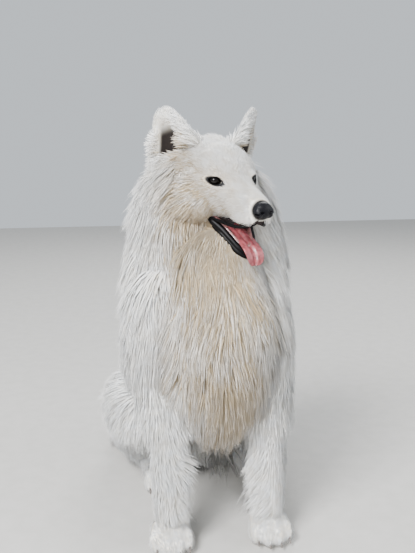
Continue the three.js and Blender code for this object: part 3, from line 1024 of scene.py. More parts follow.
@dataclass
class Skin:
    """The skins of the body and head, which the coat grows on.

    The rounded forms of the head are each a place on the left side and three radii, in mm.
    """

    body_voxel: float = 5.0
    head_voxel: float = 2.4
    ear_voxel: float = 2.0
    flew: tuple = ((14, -54, -46), (15, 28, 17))
    cheek: tuple = ((40, 34, -36), (31, 38, 34))
    brow: tuple = ((24, 18, 13), (18, 17, 12))
    brow_turn: float = 0.4
    below_eye: tuple = ((26, 0, -20), (16, 20, 13))
    lid: float = 3.4  # how far the lids stand over the eyeballs
    socket_gap: float = 0.3
    palate: tuple = ((0, -34, -66), (17, 40, 12))

    def body(self) -> bpy.types.Object:
        """Model the skin of the neck, trunk, legs and tail.

        Returns:
            The skin, in mm, in the modelling frame.
        """
        forms = [piece for limb in BODY for piece in limb.balls()]
        forms += [piece for paw in PAWS for piece in paw.forms()]
        skin = join(forms, "body_skin")
        settle(skin, Matrix.Identity(4))
        remesh(skin, self.body_voxel, 4)
        lift_to_floor(skin)
        return skin

    def head_side(self, sense: int) -> list[bpy.types.Object]:
        """Add the rounded forms on one side of the head.

        Args:
            sense: 1 for the left side, -1 for the right.

        Returns:
            The flew, cheek, brow, lids and the form below the eye.
        """
        lids = ((EYE_X, EYE_Y, 0), (EYE_R + self.lid,) * 3)
        return [
            side_ball(self.flew, sense),
            side_ball(self.cheek, sense),
            side_ball(self.brow, sense, self.brow_turn),
            side_ball(lids, sense),
            side_ball(self.below_eye, sense),
        ]

    def head(self) -> bpy.types.Object:
        """Model the skin of the head, with its ears, lids and open mouth.

        Returns:
            The skin, in mm, in the head's frame.
        """
        forms = [loft(station_rings(SKULL), "skull"), loft(station_rings(JAW), "jaw")]
        forms += [form for _, sense in SIDES for form in self.head_side(sense)]
        skin = join(forms, "head_skin")
        settle(skin, Matrix.Identity(4))
        remesh(skin, self.head_voxel, 6)
        cut(skin, loft(station_rings(MOUTH), "mouth"))
        cut(skin, ball(*self.palate))
        for _, sense in SIDES:
            skin = join([skin, EAR.hollowed(sense)], "head_skin")
        remesh(skin, self.ear_voxel, 2)
        for _, sense in SIDES:
            cut(skin, self.almond(sense))
            socket = (EYE_R + self.socket_gap,) * 3
            cut(skin, ball((sense * EYE_X, EYE_Y, 0), socket, segments=32))
        return skin

    @staticmethod
    def almond(sense: int) -> bpy.types.Object:
        """Add the cutter for the opening between the lids, along the eye's own direction.

        Args:
            sense: 1 for the left eye, -1 for the right.

        Returns:
            The cutter, in the head's frame.
        """
        bpy.ops.mesh.primitive_cylinder_add(vertices=32, radius=1, depth=24)
        cutter = bpy.context.object
        for vertex in cutter.data.vertices:
            vertex.co.y = math.copysign(abs(vertex.co.y) ** ALMOND_POINT, vertex.co.y)
        stand = Matrix.Rotation(math.pi / 2, 4, "X")
        size = Matrix.Diagonal((ALMOND[0], 1, ALMOND[1], 1))
        ahead = Matrix.Translation((0, -EYE_R - 2, 0))
        cutter.data.transform(eye_matrix(sense) @ ahead @ size @ stand)
        return cutter


def eye_matrix(sense: int) -> Matrix:
    """Return the matrix of an eye's opening.

    Args:
        sense: 1 for the left eye, -1 for the right.

    Returns:
        What takes the opening's own frame to the head's.
    """
    place = Matrix.Translation((sense * EYE_X, EYE_Y, 0))
    turn = Matrix.Rotation(sense * EYE_TURN, 4, "Z")
    return place @ turn @ Matrix.Rotation(-sense * ALMOND_RISE, 4, "Y")


def write_markings(obj: bpy.types.Object, in_head: bool) -> None:
    """Write the markings on a skin as attributes.

    Args:
        obj: The skin, in mm.
        in_head: Whether its mesh is in the head's frame.
    """
    points = vertex_array(obj)
    values = {"stain": stain_at(through(HEAD, points) if in_head else points)}
    # ear and mouth carry painted shade: the hollows of the ears and the inside of the mouth
    for key, read in (("bare", bare_at), ("mouth", mouth_at), ("ear", EAR.cup)):
        values[key] = read(points) if in_head else np.zeros(len(points))
    for key, value in values.items():
        write_attribute(obj.data, key, value)


def write_attribute(mesh: bpy.types.Mesh, key: str, values: np.ndarray) -> None:
    """Write one value for each vertex of a mesh.

    Args:
        mesh: The mesh.
        key: The attribute's name.
        values: The values.
    """
    layer = mesh.attributes.new(key, "FLOAT", "POINT")
    layer.data.foreach_set("value", values.astype(np.float32))


def vertex_array(obj: bpy.types.Object) -> np.ndarray:
    """Read the vertices of a mesh object.

    Args:
        obj: The object.

    Returns:
        Its vertices, shaped (n, 3).
    """
    out = np.empty(len(obj.data.vertices) * 3, np.float32)
    obj.data.vertices.foreach_get("co", out)
    return out.reshape(-1, 3).astype(float)


def lift_to_floor(obj: bpy.types.Object) -> None:
    """Lift what hangs below the floor to just above it.

    Args:
        obj: The skin, in mm.
    """
    points = vertex_array(obj)
    points[:, 2] = np.maximum(points[:, 2], SOLE_GAP)
    obj.data.vertices.foreach_set("co", points.astype(np.float32).ravel())
    obj.data.update()


# The coat


@dataclass
class Roots:
    """Where tufts stand on a skin, in mm, in the modelling frame."""

    at: np.ndarray
    normal: np.ndarray

    def only(self, keep: np.ndarray) -> "Roots":
        """Return the roots that a mask keeps."""
        return Roots(self.at[keep], self.normal[keep])


def scatter(obj: bpy.types.Object, matrix: Matrix, count: int, seed: int) -> Roots:
    """Spread roots over a skin by its area.

    Args:
        obj: The skin.
        matrix: What takes its mesh to the modelling frame.
        count: How many roots are drawn.
        seed: The draw's seed.

    Returns:
        The roots.
    """
    mesh = obj.data
    mesh.calc_loop_triangles()
    corners = np.empty(len(mesh.loop_triangles) * 3, np.int32)
    mesh.loop_triangles.foreach_get("vertices", corners)
    corners = corners.reshape(-1, 3)
    points = through(matrix, vertex_array(obj))
    normals = np.empty(len(mesh.vertices) * 3, np.float32)
    mesh.vertices.foreach_get("normal", normals)
    normals = unit(normals.reshape(-1, 3) @ np.array(matrix.to_3x3()).T)
    a, b, c = (points[corners[:, i]] for i in range(3))
    area = np.linalg.norm(np.cross(b - a, c - a), axis=1)
    rng = np.random.default_rng(seed)
    steps = (np.arange(count) + rng.random(count)) / count
    pick = np.minimum(np.searchsorted(np.cumsum(area) / area.sum(), steps), len(area) - 1)
    u, w = np.sqrt(rng.random(count)), rng.random(count)
    shares = np.stack([1 - u, u * (1 - w), u * w], 1)[:, :, None]
    at = (points[corners[pick]] * shares).sum(1)
    normal = unit((normals[corners[pick]] * shares).sum(1))
    return Roots(at, normal)


@dataclass
class Lie:
    """How tufts lie: direction, length, rise, half-width and how much they gather into locks."""

    way: np.ndarray
    length: np.ndarray
    rise: np.ndarray
    width: np.ndarray
    gather: np.ndarray


def limb_shares(points: np.ndarray) -> tuple[np.ndarray, np.ndarray, np.ndarray]:
    """Weigh the limbs at points on the body.

    Args:
        points: Points in the modelling frame, in mm.

    Returns:
        Each limb's share in the coat there, and the places along and round each limb.
    """
    measured = [limb.measure(points) for limb in BODY]
    gaps = np.array([m[0] for m in measured])
    shares = np.exp(-((gaps - gaps.min(0)) / LIMB_BLEND))
    shares /= shares.sum(0)
    return shares, np.array([m[1] for m in measured]), np.array([m[2] for m in measured])


def limb_ways(x: np.ndarray, y: np.ndarray, z: np.ndarray) -> dict[str, np.ndarray]:
    """Return the way that the coat of each kind of limb lies.

    Args:
        x: The roots' places along X, in mm.
        y: Along Y.
        z: Along Z.

    Returns:
        A vector for each root, by the limb's kind.
    """

    def stack(*parts: np.ndarray | float) -> np.ndarray:
        """Return a vector for each place from three arrays or numbers."""
        return np.stack([np.broadcast_to(part, x.shape) for part in parts], 1)

    shoulder = smooth(z, 370, 460)
    return {
        "neck": stack(x * 0.006, np.where(y > 130, 0.45, -0.15), -1),
        "chest": stack(x * -0.001, 0.02 - 0.6 * smooth(z, 390, 480), -1),
        "torso": stack(x * 0.001, 0.55, -0.8),
        "tail": stack(-0.75, 0.5 * smooth(x, -60, -20) - 0.6 * smooth(-x, 90, 130), -0.3),
        "foreleg": stack(
            x * -0.002 + np.sign(x) * 0.5 * shoulder,
            0.25 * smooth(y, 10, 60) - 0.35 * shoulder,
            -1,
        ),
        "thigh": stack(x * 0.0005, 0.12, -1),
        "hind_foot": stack(0, -1, -0.15),
    }


def feet_at(x: np.ndarray, y: np.ndarray, z: np.ndarray) -> np.ndarray:
    """Return how near the feet places in mm are, from 0 to 1."""
    return smooth(-z, -75, -30) * ((y < 60) | (np.abs(x) > 60)) * (y < 225)


def collar_at(z: np.ndarray, neck: np.ndarray) -> np.ndarray:
    """Return how far heights in mm, with the neck's share there, lie in the ruff's collar."""
    return smooth(z, 420, 455) * (1 - smooth(z, 500, 540)) * neck


def body_length(
    roots: Roots, shares: np.ndarray, along: np.ndarray, rng: np.random.Generator
) -> np.ndarray:
    """Return how long the body's tufts are.

    Args:
        roots: The roots.
        shares: Each limb's share in the coat.
        along: The places along each limb.
        rng: The random draw.

    Returns:
        The length at each root, in mm.
    """
    x, y, z = roots.at.T
    faces_back = roots.normal[:, 1]
    wide = np.abs(x)
    length = np.zeros(len(x))
    for i, limb in enumerate(BODY):
        table = limb.table()
        depth = np.interp(along[i], np.linspace(0, 1, len(table)), table[:, 4])
        length += shares[i] * depth * LENGTH_BY_DEPTH
    # It shortens towards the lower jaw and up to the ears
    local = through(HEAD.inverted(), roots.at)
    jaw = np.hypot(np.hypot(local[:, 0], local[:, 2] + 95), np.maximum(local[:, 1] - 20, 0))
    length *= 0.28 + 0.72 * smooth(jaw, 28, 95)
    length *= 1 - 0.35 * smooth(local[:, 2], -10, 40)
    # The back of the forelegs is feathered and their front is short
    feather = smooth(faces_back, 0.1, 0.7) * smooth(-z, -330, -120) * (wide < 130) * (y < 90)
    length *= 1 + 0.7 * feather
    foreleg = (wide > 50) & (y < 60) & (z < 230)
    length = np.where(foreleg, length * (0.64 + 0.3 * smooth(faces_back, 0.0, 0.8)), length)
    feet = feet_at(x, y, z)
    length = length * (1 - feet) + FOOT_HAIR * feet
    # The mane's lower edge is uneven and its collar is longer
    uneven = 0.3 * np.sin(x / 13 + 2 * np.sin(z / 29)) + 0.5 * rng.random(len(x)) - 0.25
    length *= 1 + shares[0] * smooth(y, 90, 130) * uneven
    length *= 1 + 0.45 * collar_at(z, shares[0])
    behind_leg = (wide > 40) & (y > 20) & (y < 110) & (z < 190)
    length = np.where(behind_leg, length * 0.45, length)
    # The fringe between the front legs ends unevenly
    fringe = (wide < 48) * (1 - smooth(z, 230, 300)) * (y < 120)
    return length * (1 + fringe * 0.3 * rng.random(len(x)))


def body_lie(roots: Roots, rng: np.random.Generator) -> Lie:
    """Return how the body's coat lies.

    Args:
        roots: The roots.
        rng: The random draw.

    Returns:
        The lie at each root.
    """
    n = roots.normal
    x, y, z = roots.at.T
    shares, along, _ = limb_shares(roots.at)
    neck, forelegs = shares[0], shares[4] + shares[5]
    ways = limb_ways(x, y, z)
    way = np.zeros_like(roots.at)
    for share, limb in zip(shares, BODY):
        way += share[:, None] * unit(ways[limb.kind])
    length = body_length(roots, shares, along, rng)

    # It rises more on the forelegs, and lies flat on the ledge of the shoulders and on the feet
    ledge = smooth(n[:, 2], 0.1, 0.6) * smooth(z, 360, 420) * (1 - neck)
    rise = 26 + 8 * neck + 11 * forelegs - 6 * feet_at(x, y, z)
    rise = np.radians(rise - 18 * ledge - 8 * collar_at(z, neck))

    # The feet's hair points at the toes, and the rest swirls a little
    front_paw = smooth(-z, -60, -30) * (np.abs(y) < 60)
    hind_paw = smooth(-z, -48, -28) * (y > 100) * (np.abs(x) > 60)
    paw = (front_paw + hind_paw)[:, None]
    way = unit(way) * (1 - paw) + np.array([0, -1, -0.35]) * paw
    swirl = 0.26 * np.sin(x / 21 + 1.7 * np.sin(z / 47))
    swirl += 0.16 * np.sin(z / 17 + y / 23 + 2 * np.sin(x / 31))
    way = unit(way) + np.cross(n, way) * swirl[:, None]

    # The undercoat is shorter, wider and ungathered
    width = np.clip(length * 0.011, 0.45, 0.95)
    gather = np.clip(length / 95, 0.1, 0.85)
    under = rng.random(len(x)) < UNDERCOAT
    length = np.where(under, length * 0.68, length)
    width = np.where(under, width * 2.1, width)
    gather = np.where(under, 0.1, gather)
    rise = np.where(under, rise * 0.9, rise)
    return Lie(unit(way), length * varied(rng, len(x)), rise, width, gather)


def varied(rng: np.random.Generator, count: int) -> np.ndarray:
    """Return factors between 0.8 and 1.2."""
    return 0.8 + 0.4 * rng.random(count)


def head_lie(roots: Roots, rng: np.random.Generator) -> Lie:
    """Return how the head's coat lies.

    Args:
        roots: The roots.
        rng: The random draw.

    Returns:
        The lie at each root.
    """
    local = through(HEAD.inverted(), roots.at)
    x, y, z = local.T
    side, wide = np.sign(x), np.abs(x)
    height, share, ahead = EAR.place(local)

    # It runs back from the nose, out and down over the cheeks and up the ears
    cheek = smooth(wide, 22, 60) * smooth(-z, -8, 36)
    crown = smooth(z, 14, 44)
    ear = smooth(z, 52, 66) * smooth(wide, 24, 34)
    rising = 0.25 * crown - 0.75 * cheek - 0.1
    back = np.stack([side * (0.15 + 0.35 * cheek), 1 - 0.2 * cheek, rising], 1)
    up = np.stack([side * 0.3, 0 * x + 0.1, 0 * x + 1], 1)
    way = unit(back) * (1 - ear)[:, None] + unit(up) * ear[:, None]

    # It is short on the muzzle, and longest on the cheeks and below the jaw
    length = 7 + 8 * smooth(y, -60, 0) + 14 * smooth(y, 0, 60) + 52 * cheek * smooth(y, -4, 40)
    crown = crown * (1 - smooth(wide, 26, 44)) * smooth(y, 10, 50)
    length += 14 * crown + 34 * smooth(-z, 56, 90) * smooth(y, -40, 20)
    length += 22 * smooth(y, 60, 100) * (1 - 0.8 * smooth(z, -20, 30))
    length *= 1 - 0.45 * (1 - smooth(np.abs(share), 1.1, 2.2)) * smooth(height, -0.7, -0.1)
    length = length * (1 - ear) + 6 * ear

    # Wisps reach from the inner edge of an ear over its cup
    wisp = smooth(-share, 0.35, 0.7) * smooth(ahead, -2, 2)
    wisp *= smooth(height, -0.05, 0.1) * (1 - smooth(height, 0.75, 0.95))
    length += 19 * wisp
    outwards = np.stack([side * 0.75, 0 * x + 0.2, 0 * x + 0.35], 1)
    way = way * (1 - wisp)[:, None] + outwards * wisp[:, None]
    length *= 0.45 + 0.55 * smooth(np.hypot(wide - EYE_X, z * 1.3), 12, 34)

    rise = 18 + 10 * smooth(y, 0, 60) + 12 * cheek * smooth(y, 0, 40) + 16 * crown
    width = np.clip(length * 0.03, 0.3, 0.85)
    gather = np.clip(length / 120, 0.1, 0.45)
    way = unit(way @ np.array(HEAD.to_3x3()).T)
    return Lie(way, length * varied(rng, len(x)), np.radians(rise), width, gather)

@dataclass
class Coat:
    """Tufts of fur over a skin, as closed three-sided blades that run out to a point."""

    name: str
    roots: Roots
    lie: Lie
    seed: int
    clump: float  # the size of the smaller locks, in mm
    widths: tuple  # the width of each ring, as a share of the tuft's
    softness: float  # how far the shading follows the skin and not the blade
    shares: tuple = (0.0, 0.55)  # where along the tuft its rings are
    flatness: tuple = (1.5, 0.7)
    spread: float = 0.21
    bend: float = 0.35
    sink: float = 0.04
    droop: float = 0.10
    locks: tuple = ((2.3, 0.55), (1.0, 0.75))  # size in clumps, and how strongly tips are drawn
    most: int = 185_000  # triangles of a piece
    layer: float = 60  # height of the bands that the tufts are sorted by, in mm

    def spine(self, rng: np.random.Generator) -> np.ndarray:
        """Lay out the middle line of each tuft.

        Args:
            rng: The random draw.

        Returns:
            The lines, shaped (tufts, rings + 1, 3).
        """
        n = self.roots.normal
        way = unit(self.lie.way - n * (self.lie.way * n).sum(1, keepdims=True))
        across = unit(np.cross(n, way))
        way = unit(way + across * rng.normal(0, self.spread, len(n))[:, None])
        rise = (self.lie.rise * (0.75 + 0.5 * rng.random(len(n))))[:, None]
        length = self.lie.length[:, None]
        line = []
        for share in (*self.shares, 1.0):
            lean = rise * (1 - self.bend * share)
            step = way * np.cos(lean) + n * np.sin(lean)
            weight = np.array([0, 0, -1.0]) * length * self.droop * share**2
            line.append(self.roots.at + step * length * (share - self.sink) + weight)
        return self.gathered(np.stack(line, 1), rng)

    def gathered(self, line: np.ndarray, rng: np.random.Generator) -> np.ndarray:
        """Draw the tufts' tips together, into large locks and then into small ones.

        Args:
            line: The tufts' middle lines.
            rng: The random draw.

        Returns:
            The lines, gathered.
        """
        at = self.roots.at
        for scale, strength in self.locks:
            cell = self.clump * scale
            tip = line[:, -1].copy()
            wander = 0.35 * cell * np.sin(at[:, [1, 2, 0]] / cell + rng.random(3) * 6)
            keys = np.floor((at + rng.random(3) * cell + wander) / cell).astype(np.int64)
            _, group, counts = np.unique(cell_names(keys), return_inverse=True, return_counts=True)
            group = group.reshape(-1)
            sums = np.stack([np.bincount(group, tip[:, k]) for k in range(3)], 1)
            centre = sums / counts[:, None]
            pull = strength * self.lie.gather * (0.6 + 0.5 * rng.random(len(tip)))
            for i, share in enumerate((*self.shares, 1.0)):
                line[:, i] += (centre[group] - tip) * (pull * share**1.6)[:, None]
            longer = rng.normal(0, 1, (counts.size, 1)) * 0.09
            line[:, -1] += (line[:, -1] - line[:, -2]) * longer[group]
        return line

    def build(self, wardrobe: Wardrobe, matrix: Matrix) -> list[bpy.types.Object]:
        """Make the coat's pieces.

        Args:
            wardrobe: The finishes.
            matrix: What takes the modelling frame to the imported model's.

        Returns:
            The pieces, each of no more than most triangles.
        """
        rng = np.random.default_rng(self.seed)
        line = self.spine(rng)
        lowest, vary = FLOOR_GAP
        line[:, :, 2] = np.maximum(line[:, :, 2], lowest + vary * rng.random((len(line), 1)))
        bands = np.round(self.roots.at[:, 2] / self.layer)
        order = np.lexsort((self.roots.at[:, 1], bands))
        step = self.most // len(self.blade_faces())
        pieces = []
        for k, start in enumerate(range(0, len(line), step)):
            obj = self.piece(f"{self.name}_{k + 1}", order[start:start + step], line)
            pieces.append(wardrobe.dress(obj, Finish.COAT, matrix))
        return pieces

    def blade_faces(self) -> np.ndarray:
        """Join the corners of one tuft.

        Returns:
            The triangles of its foot, its sides and its point, shaped (triangles, 3).
        """
        faces = [(0, 2, 1)]
        last = (len(self.shares) - 1) * CORNERS
        for ring in range(0, last, CORNERS):
            for k in range(CORNERS):
                a, b = ring + k, ring + (k + 1) % CORNERS
                faces += [(a, b, b + CORNERS), (a, b + CORNERS, a + CORNERS)]
        faces += [(last + k, last + (k + 1) % CORNERS, last + CORNERS) for k in range(CORNERS)]
        return np.array(faces)

    def blades(self, pick: np.ndarray, line: np.ndarray) -> np.ndarray:
        """Place the corners of tufts.

        Args:
            pick: Which tufts they are.
            line: Their middle lines.

        Returns:
            The corners of each tuft, ring by ring, and its tip, shaped (tufts, corners, 3).
        """
        aim = unit(line[:, -1] - line[:, 0])
        across = unit(np.cross(self.roots.normal[pick], aim))
        lift = unit(np.cross(aim, across))
        wide, thick = self.flatness
        body = np.empty((len(pick), len(self.shares) * CORNERS + 1, 3))
        for ring, share in enumerate(self.widths):
            width = (self.lie.width[pick] * share)[:, None]
            for k in range(CORNERS):
                a = 2 * np.pi * k / CORNERS + np.pi / 6
                offset = across * width * wide * np.cos(a) + lift * width * thick * np.sin(a)
                body[:, ring * CORNERS + k] = line[:, ring] + offset
        body[:, -1] = line[:, -1]
        return body

    def shading(self, pick: np.ndarray, line: np.ndarray, body: np.ndarray) -> np.ndarray:
        """Return the normals of tufts' vertices, between the skin's and the blade's own.

        Args:
            pick: Which tufts they are.
            line: Their middle lines.
            body: Their corners.

        Returns:
            The normals, shaped (vertices, 3).
        """
        rings = len(self.shares)
        own = unit(body - body.mean(1, keepdims=True))
        from_line = body[:, :-1].reshape(len(body), rings, CORNERS, 3) - line[:, :rings, None]
        own[:, :-1] = unit(from_line).reshape(len(body), -1, 3)
        skin = np.repeat(self.roots.normal[pick], body.shape[1], 0)
        return unit(skin * self.softness + (1 - self.softness) * own.reshape(-1, 3))

    def tints(self, pick: np.ndarray) -> tuple[np.ndarray, np.ndarray]:
        """Return how bright tufts are and how biscuit-coloured, which varies by lock.

        Args:
            pick: Which tufts they are.

        Returns:
            The brightness and the stain of each tuft.
        """
        at, count = self.roots.at[pick], len(pick)
        rng = np.random.default_rng(self.seed + count)
        cells = np.floor(at / self.clump).astype(np.int64)
        lock = (cells @ np.array(LOCK_STEPS)) % LOCK_TONES / (LOCK_TONES - 1)
        shade = 1 - 0.3 * rng.random(count) - 0.35 * lock
        streak = 0.7 + 1.6 * lock * rng.random(count) + 0.3 * rng.random(count)
        # In the ears' cups the tufts take the full biscuit tone as painted shade in the hollows
        in_ear = 1.6 * EAR.cup(through(HEAD.inverted(), at))
        return shade, np.clip(np.maximum(stain_at(at) * streak, in_ear), 0, 1)

    def piece(self, name: str, pick: np.ndarray, line: np.ndarray) -> bpy.types.Object:
        """Make one piece of the coat.

        Args:
            name: The piece's name.
            pick: Which tufts it has.
            line: Every tuft's middle line.

        Returns:
            The new object, in mm.
        """
        line = line[pick]
        body = self.blades(pick, line)
        count, size, _ = body.shape
        index = self.blade_faces()[None] + (np.arange(count) * size)[:, None, None]
        index = index.reshape(-1)
        mesh = bpy.data.meshes.new(name)
        mesh.vertices.add(count * size)
        mesh.vertices.foreach_set("co", body.astype(np.float32).ravel())
        mesh.loops.add(len(index))
        mesh.loops.foreach_set("vertex_index", index.astype(np.int32))
        mesh.polygons.add(len(index) // 3)
        mesh.polygons.foreach_set("loop_start", np.arange(0, len(index), 3, dtype=np.int32))
        mesh.update(calc_edges=True)
        # Each tuft darkens towards its root, partly as painted shade deep in the coat; the tints give
        # each lock its own tone
        along = np.array([share for share in self.shares for _ in range(CORNERS)] + [1.0]) ** 0.8
        shade, stain = self.tints(pick)
        write_attribute(mesh, "along", np.tile(along, count) * np.repeat(shade, size))
        write_attribute(mesh, "stain", np.repeat(stain, size))
        self.bake_map(mesh, pick, index, along)
        mesh.polygons.foreach_set("use_smooth", np.ones(len(index) // 3, bool))
        normals = self.shading(pick, line, body)
        mesh.normals_split_custom_set_from_vertices(normals.astype(np.float32))
        obj = bpy.data.objects.new(name, mesh)
        bpy.context.scene.collection.objects.link(obj)
        return obj

    def bake_map(
        self, mesh: bpy.types.Mesh, pick: np.ndarray, index: np.ndarray, along: np.ndarray
    ) -> None:
        """Lay each tuft out as a small patch at its root's place on the unwrapped skin.

        The skin is unwrapped limb by limb: each limb has a cell, with the place round it across
        and the place along it upwards.

        Args:
            mesh: The piece's mesh.
            pick: Which tufts it has.
            index: Each loop's vertex.
            along: Each vertex's place along its tuft.
        """
        shares, places, angles = limb_shares(self.roots.at[pick])
        limb = shares.argmax(0)
        tuft = np.arange(len(pick))
        around, up = angles[limb, tuft] / (2 * np.pi) + 0.5, places[limb, tuft]
        used = 1 - 2 * BAKE_MARGIN
        u = (limb % BAKE_COLUMNS + BAKE_MARGIN + used * around) / BAKE_COLUMNS
        v = (limb // BAKE_COLUMNS + BAKE_MARGIN + used * up) / BAKE_ROWS
        corner = np.arange(len(along)) % CORNERS / 2 - 0.5
        patch_u = u[:, None] + BAKE_PATCH * corner
        patch_v = v[:, None] + BAKE_PATCH * (along - 0.5)
        uv = np.stack([patch_u, patch_v], 2).reshape(-1, 2)
        layer = mesh.uv_layers.new(name="OFBake")
        layer.data.foreach_set("uv", uv[index].astype(np.float32).ravel())


def cell_names(keys: np.ndarray) -> np.ndarray:
    """Return one whole number for each cell of a grid, from its three."""
    a, b, c = CELL_PRIMES
    return keys[:, 0] * a ^ keys[:, 1] * b ^ keys[:, 2] * c


def body_coat(skin: bpy.types.Object, rng: np.random.Generator) -> Coat:
    """Grow the body's coat, but for what the head and the floor cover.

    Args:
        skin: The body's skin, in mm.
        rng: The random draw.

    Returns:
        The coat.
    """
    roots = scatter(skin, Matrix.Identity(4), BODY_TUFTS, seed=3)
    x, y, z = through(HEAD.inverted(), roots.at).T
    in_skull = (np.hypot(x / 60, (z + 6) / 54) < 1) & (y < 72)
    in_jaw = (np.abs(x) < 26) & (y < 30) & (z > -104)
    roots = roots.only(~(in_skull | in_jaw) & (roots.at[:, 2] > 5))
    lie = body_lie(roots, rng)
    return Coat("coat_body", roots, lie, seed=7, clump=24.0, widths=(0.9, 0.85), softness=0.9)


def head_coat(skin: bpy.types.Object, rng: np.random.Generator) -> Coat:
    """Grow the head's coat, but for the bare places, the mouth and most of the ears' cups.

    Args:
        skin: The head's skin, in mm, in the head's frame.
        rng: The random draw.

    Returns:
        The coat.
    """
    roots = scatter(skin, HEAD, HEAD_TUFTS, seed=13)
    local = through(HEAD.inverted(), roots.at)
    hidden = (bare_at(local) > 0.3) | (mouth_at(local) > 0.5)
    _, share, _ = EAR.place(local)
    facing = through(HEAD.inverted(), roots.at + roots.normal) - local
    in_cup = rng.random(len(local)) < smooth(EAR.cup(local), 0.3, 0.62)
    hidden |= in_cup & (share > -0.45) & (facing[:, 1] < 0.3)
    roots = roots.only(~hidden)
    lie = head_lie(roots, rng)
    return Coat("coat_head", roots, lie, seed=17, clump=11.0, widths=(0.9, 0.8), softness=0.66)


# The head's details


def through_the_middle(half: tuple) -> list[tuple]:
    """Return a line's points from the left side to the middle, and on to the right side."""
    return [*half, *((-x, y, z) for x, y, z in half[-2::-1])]


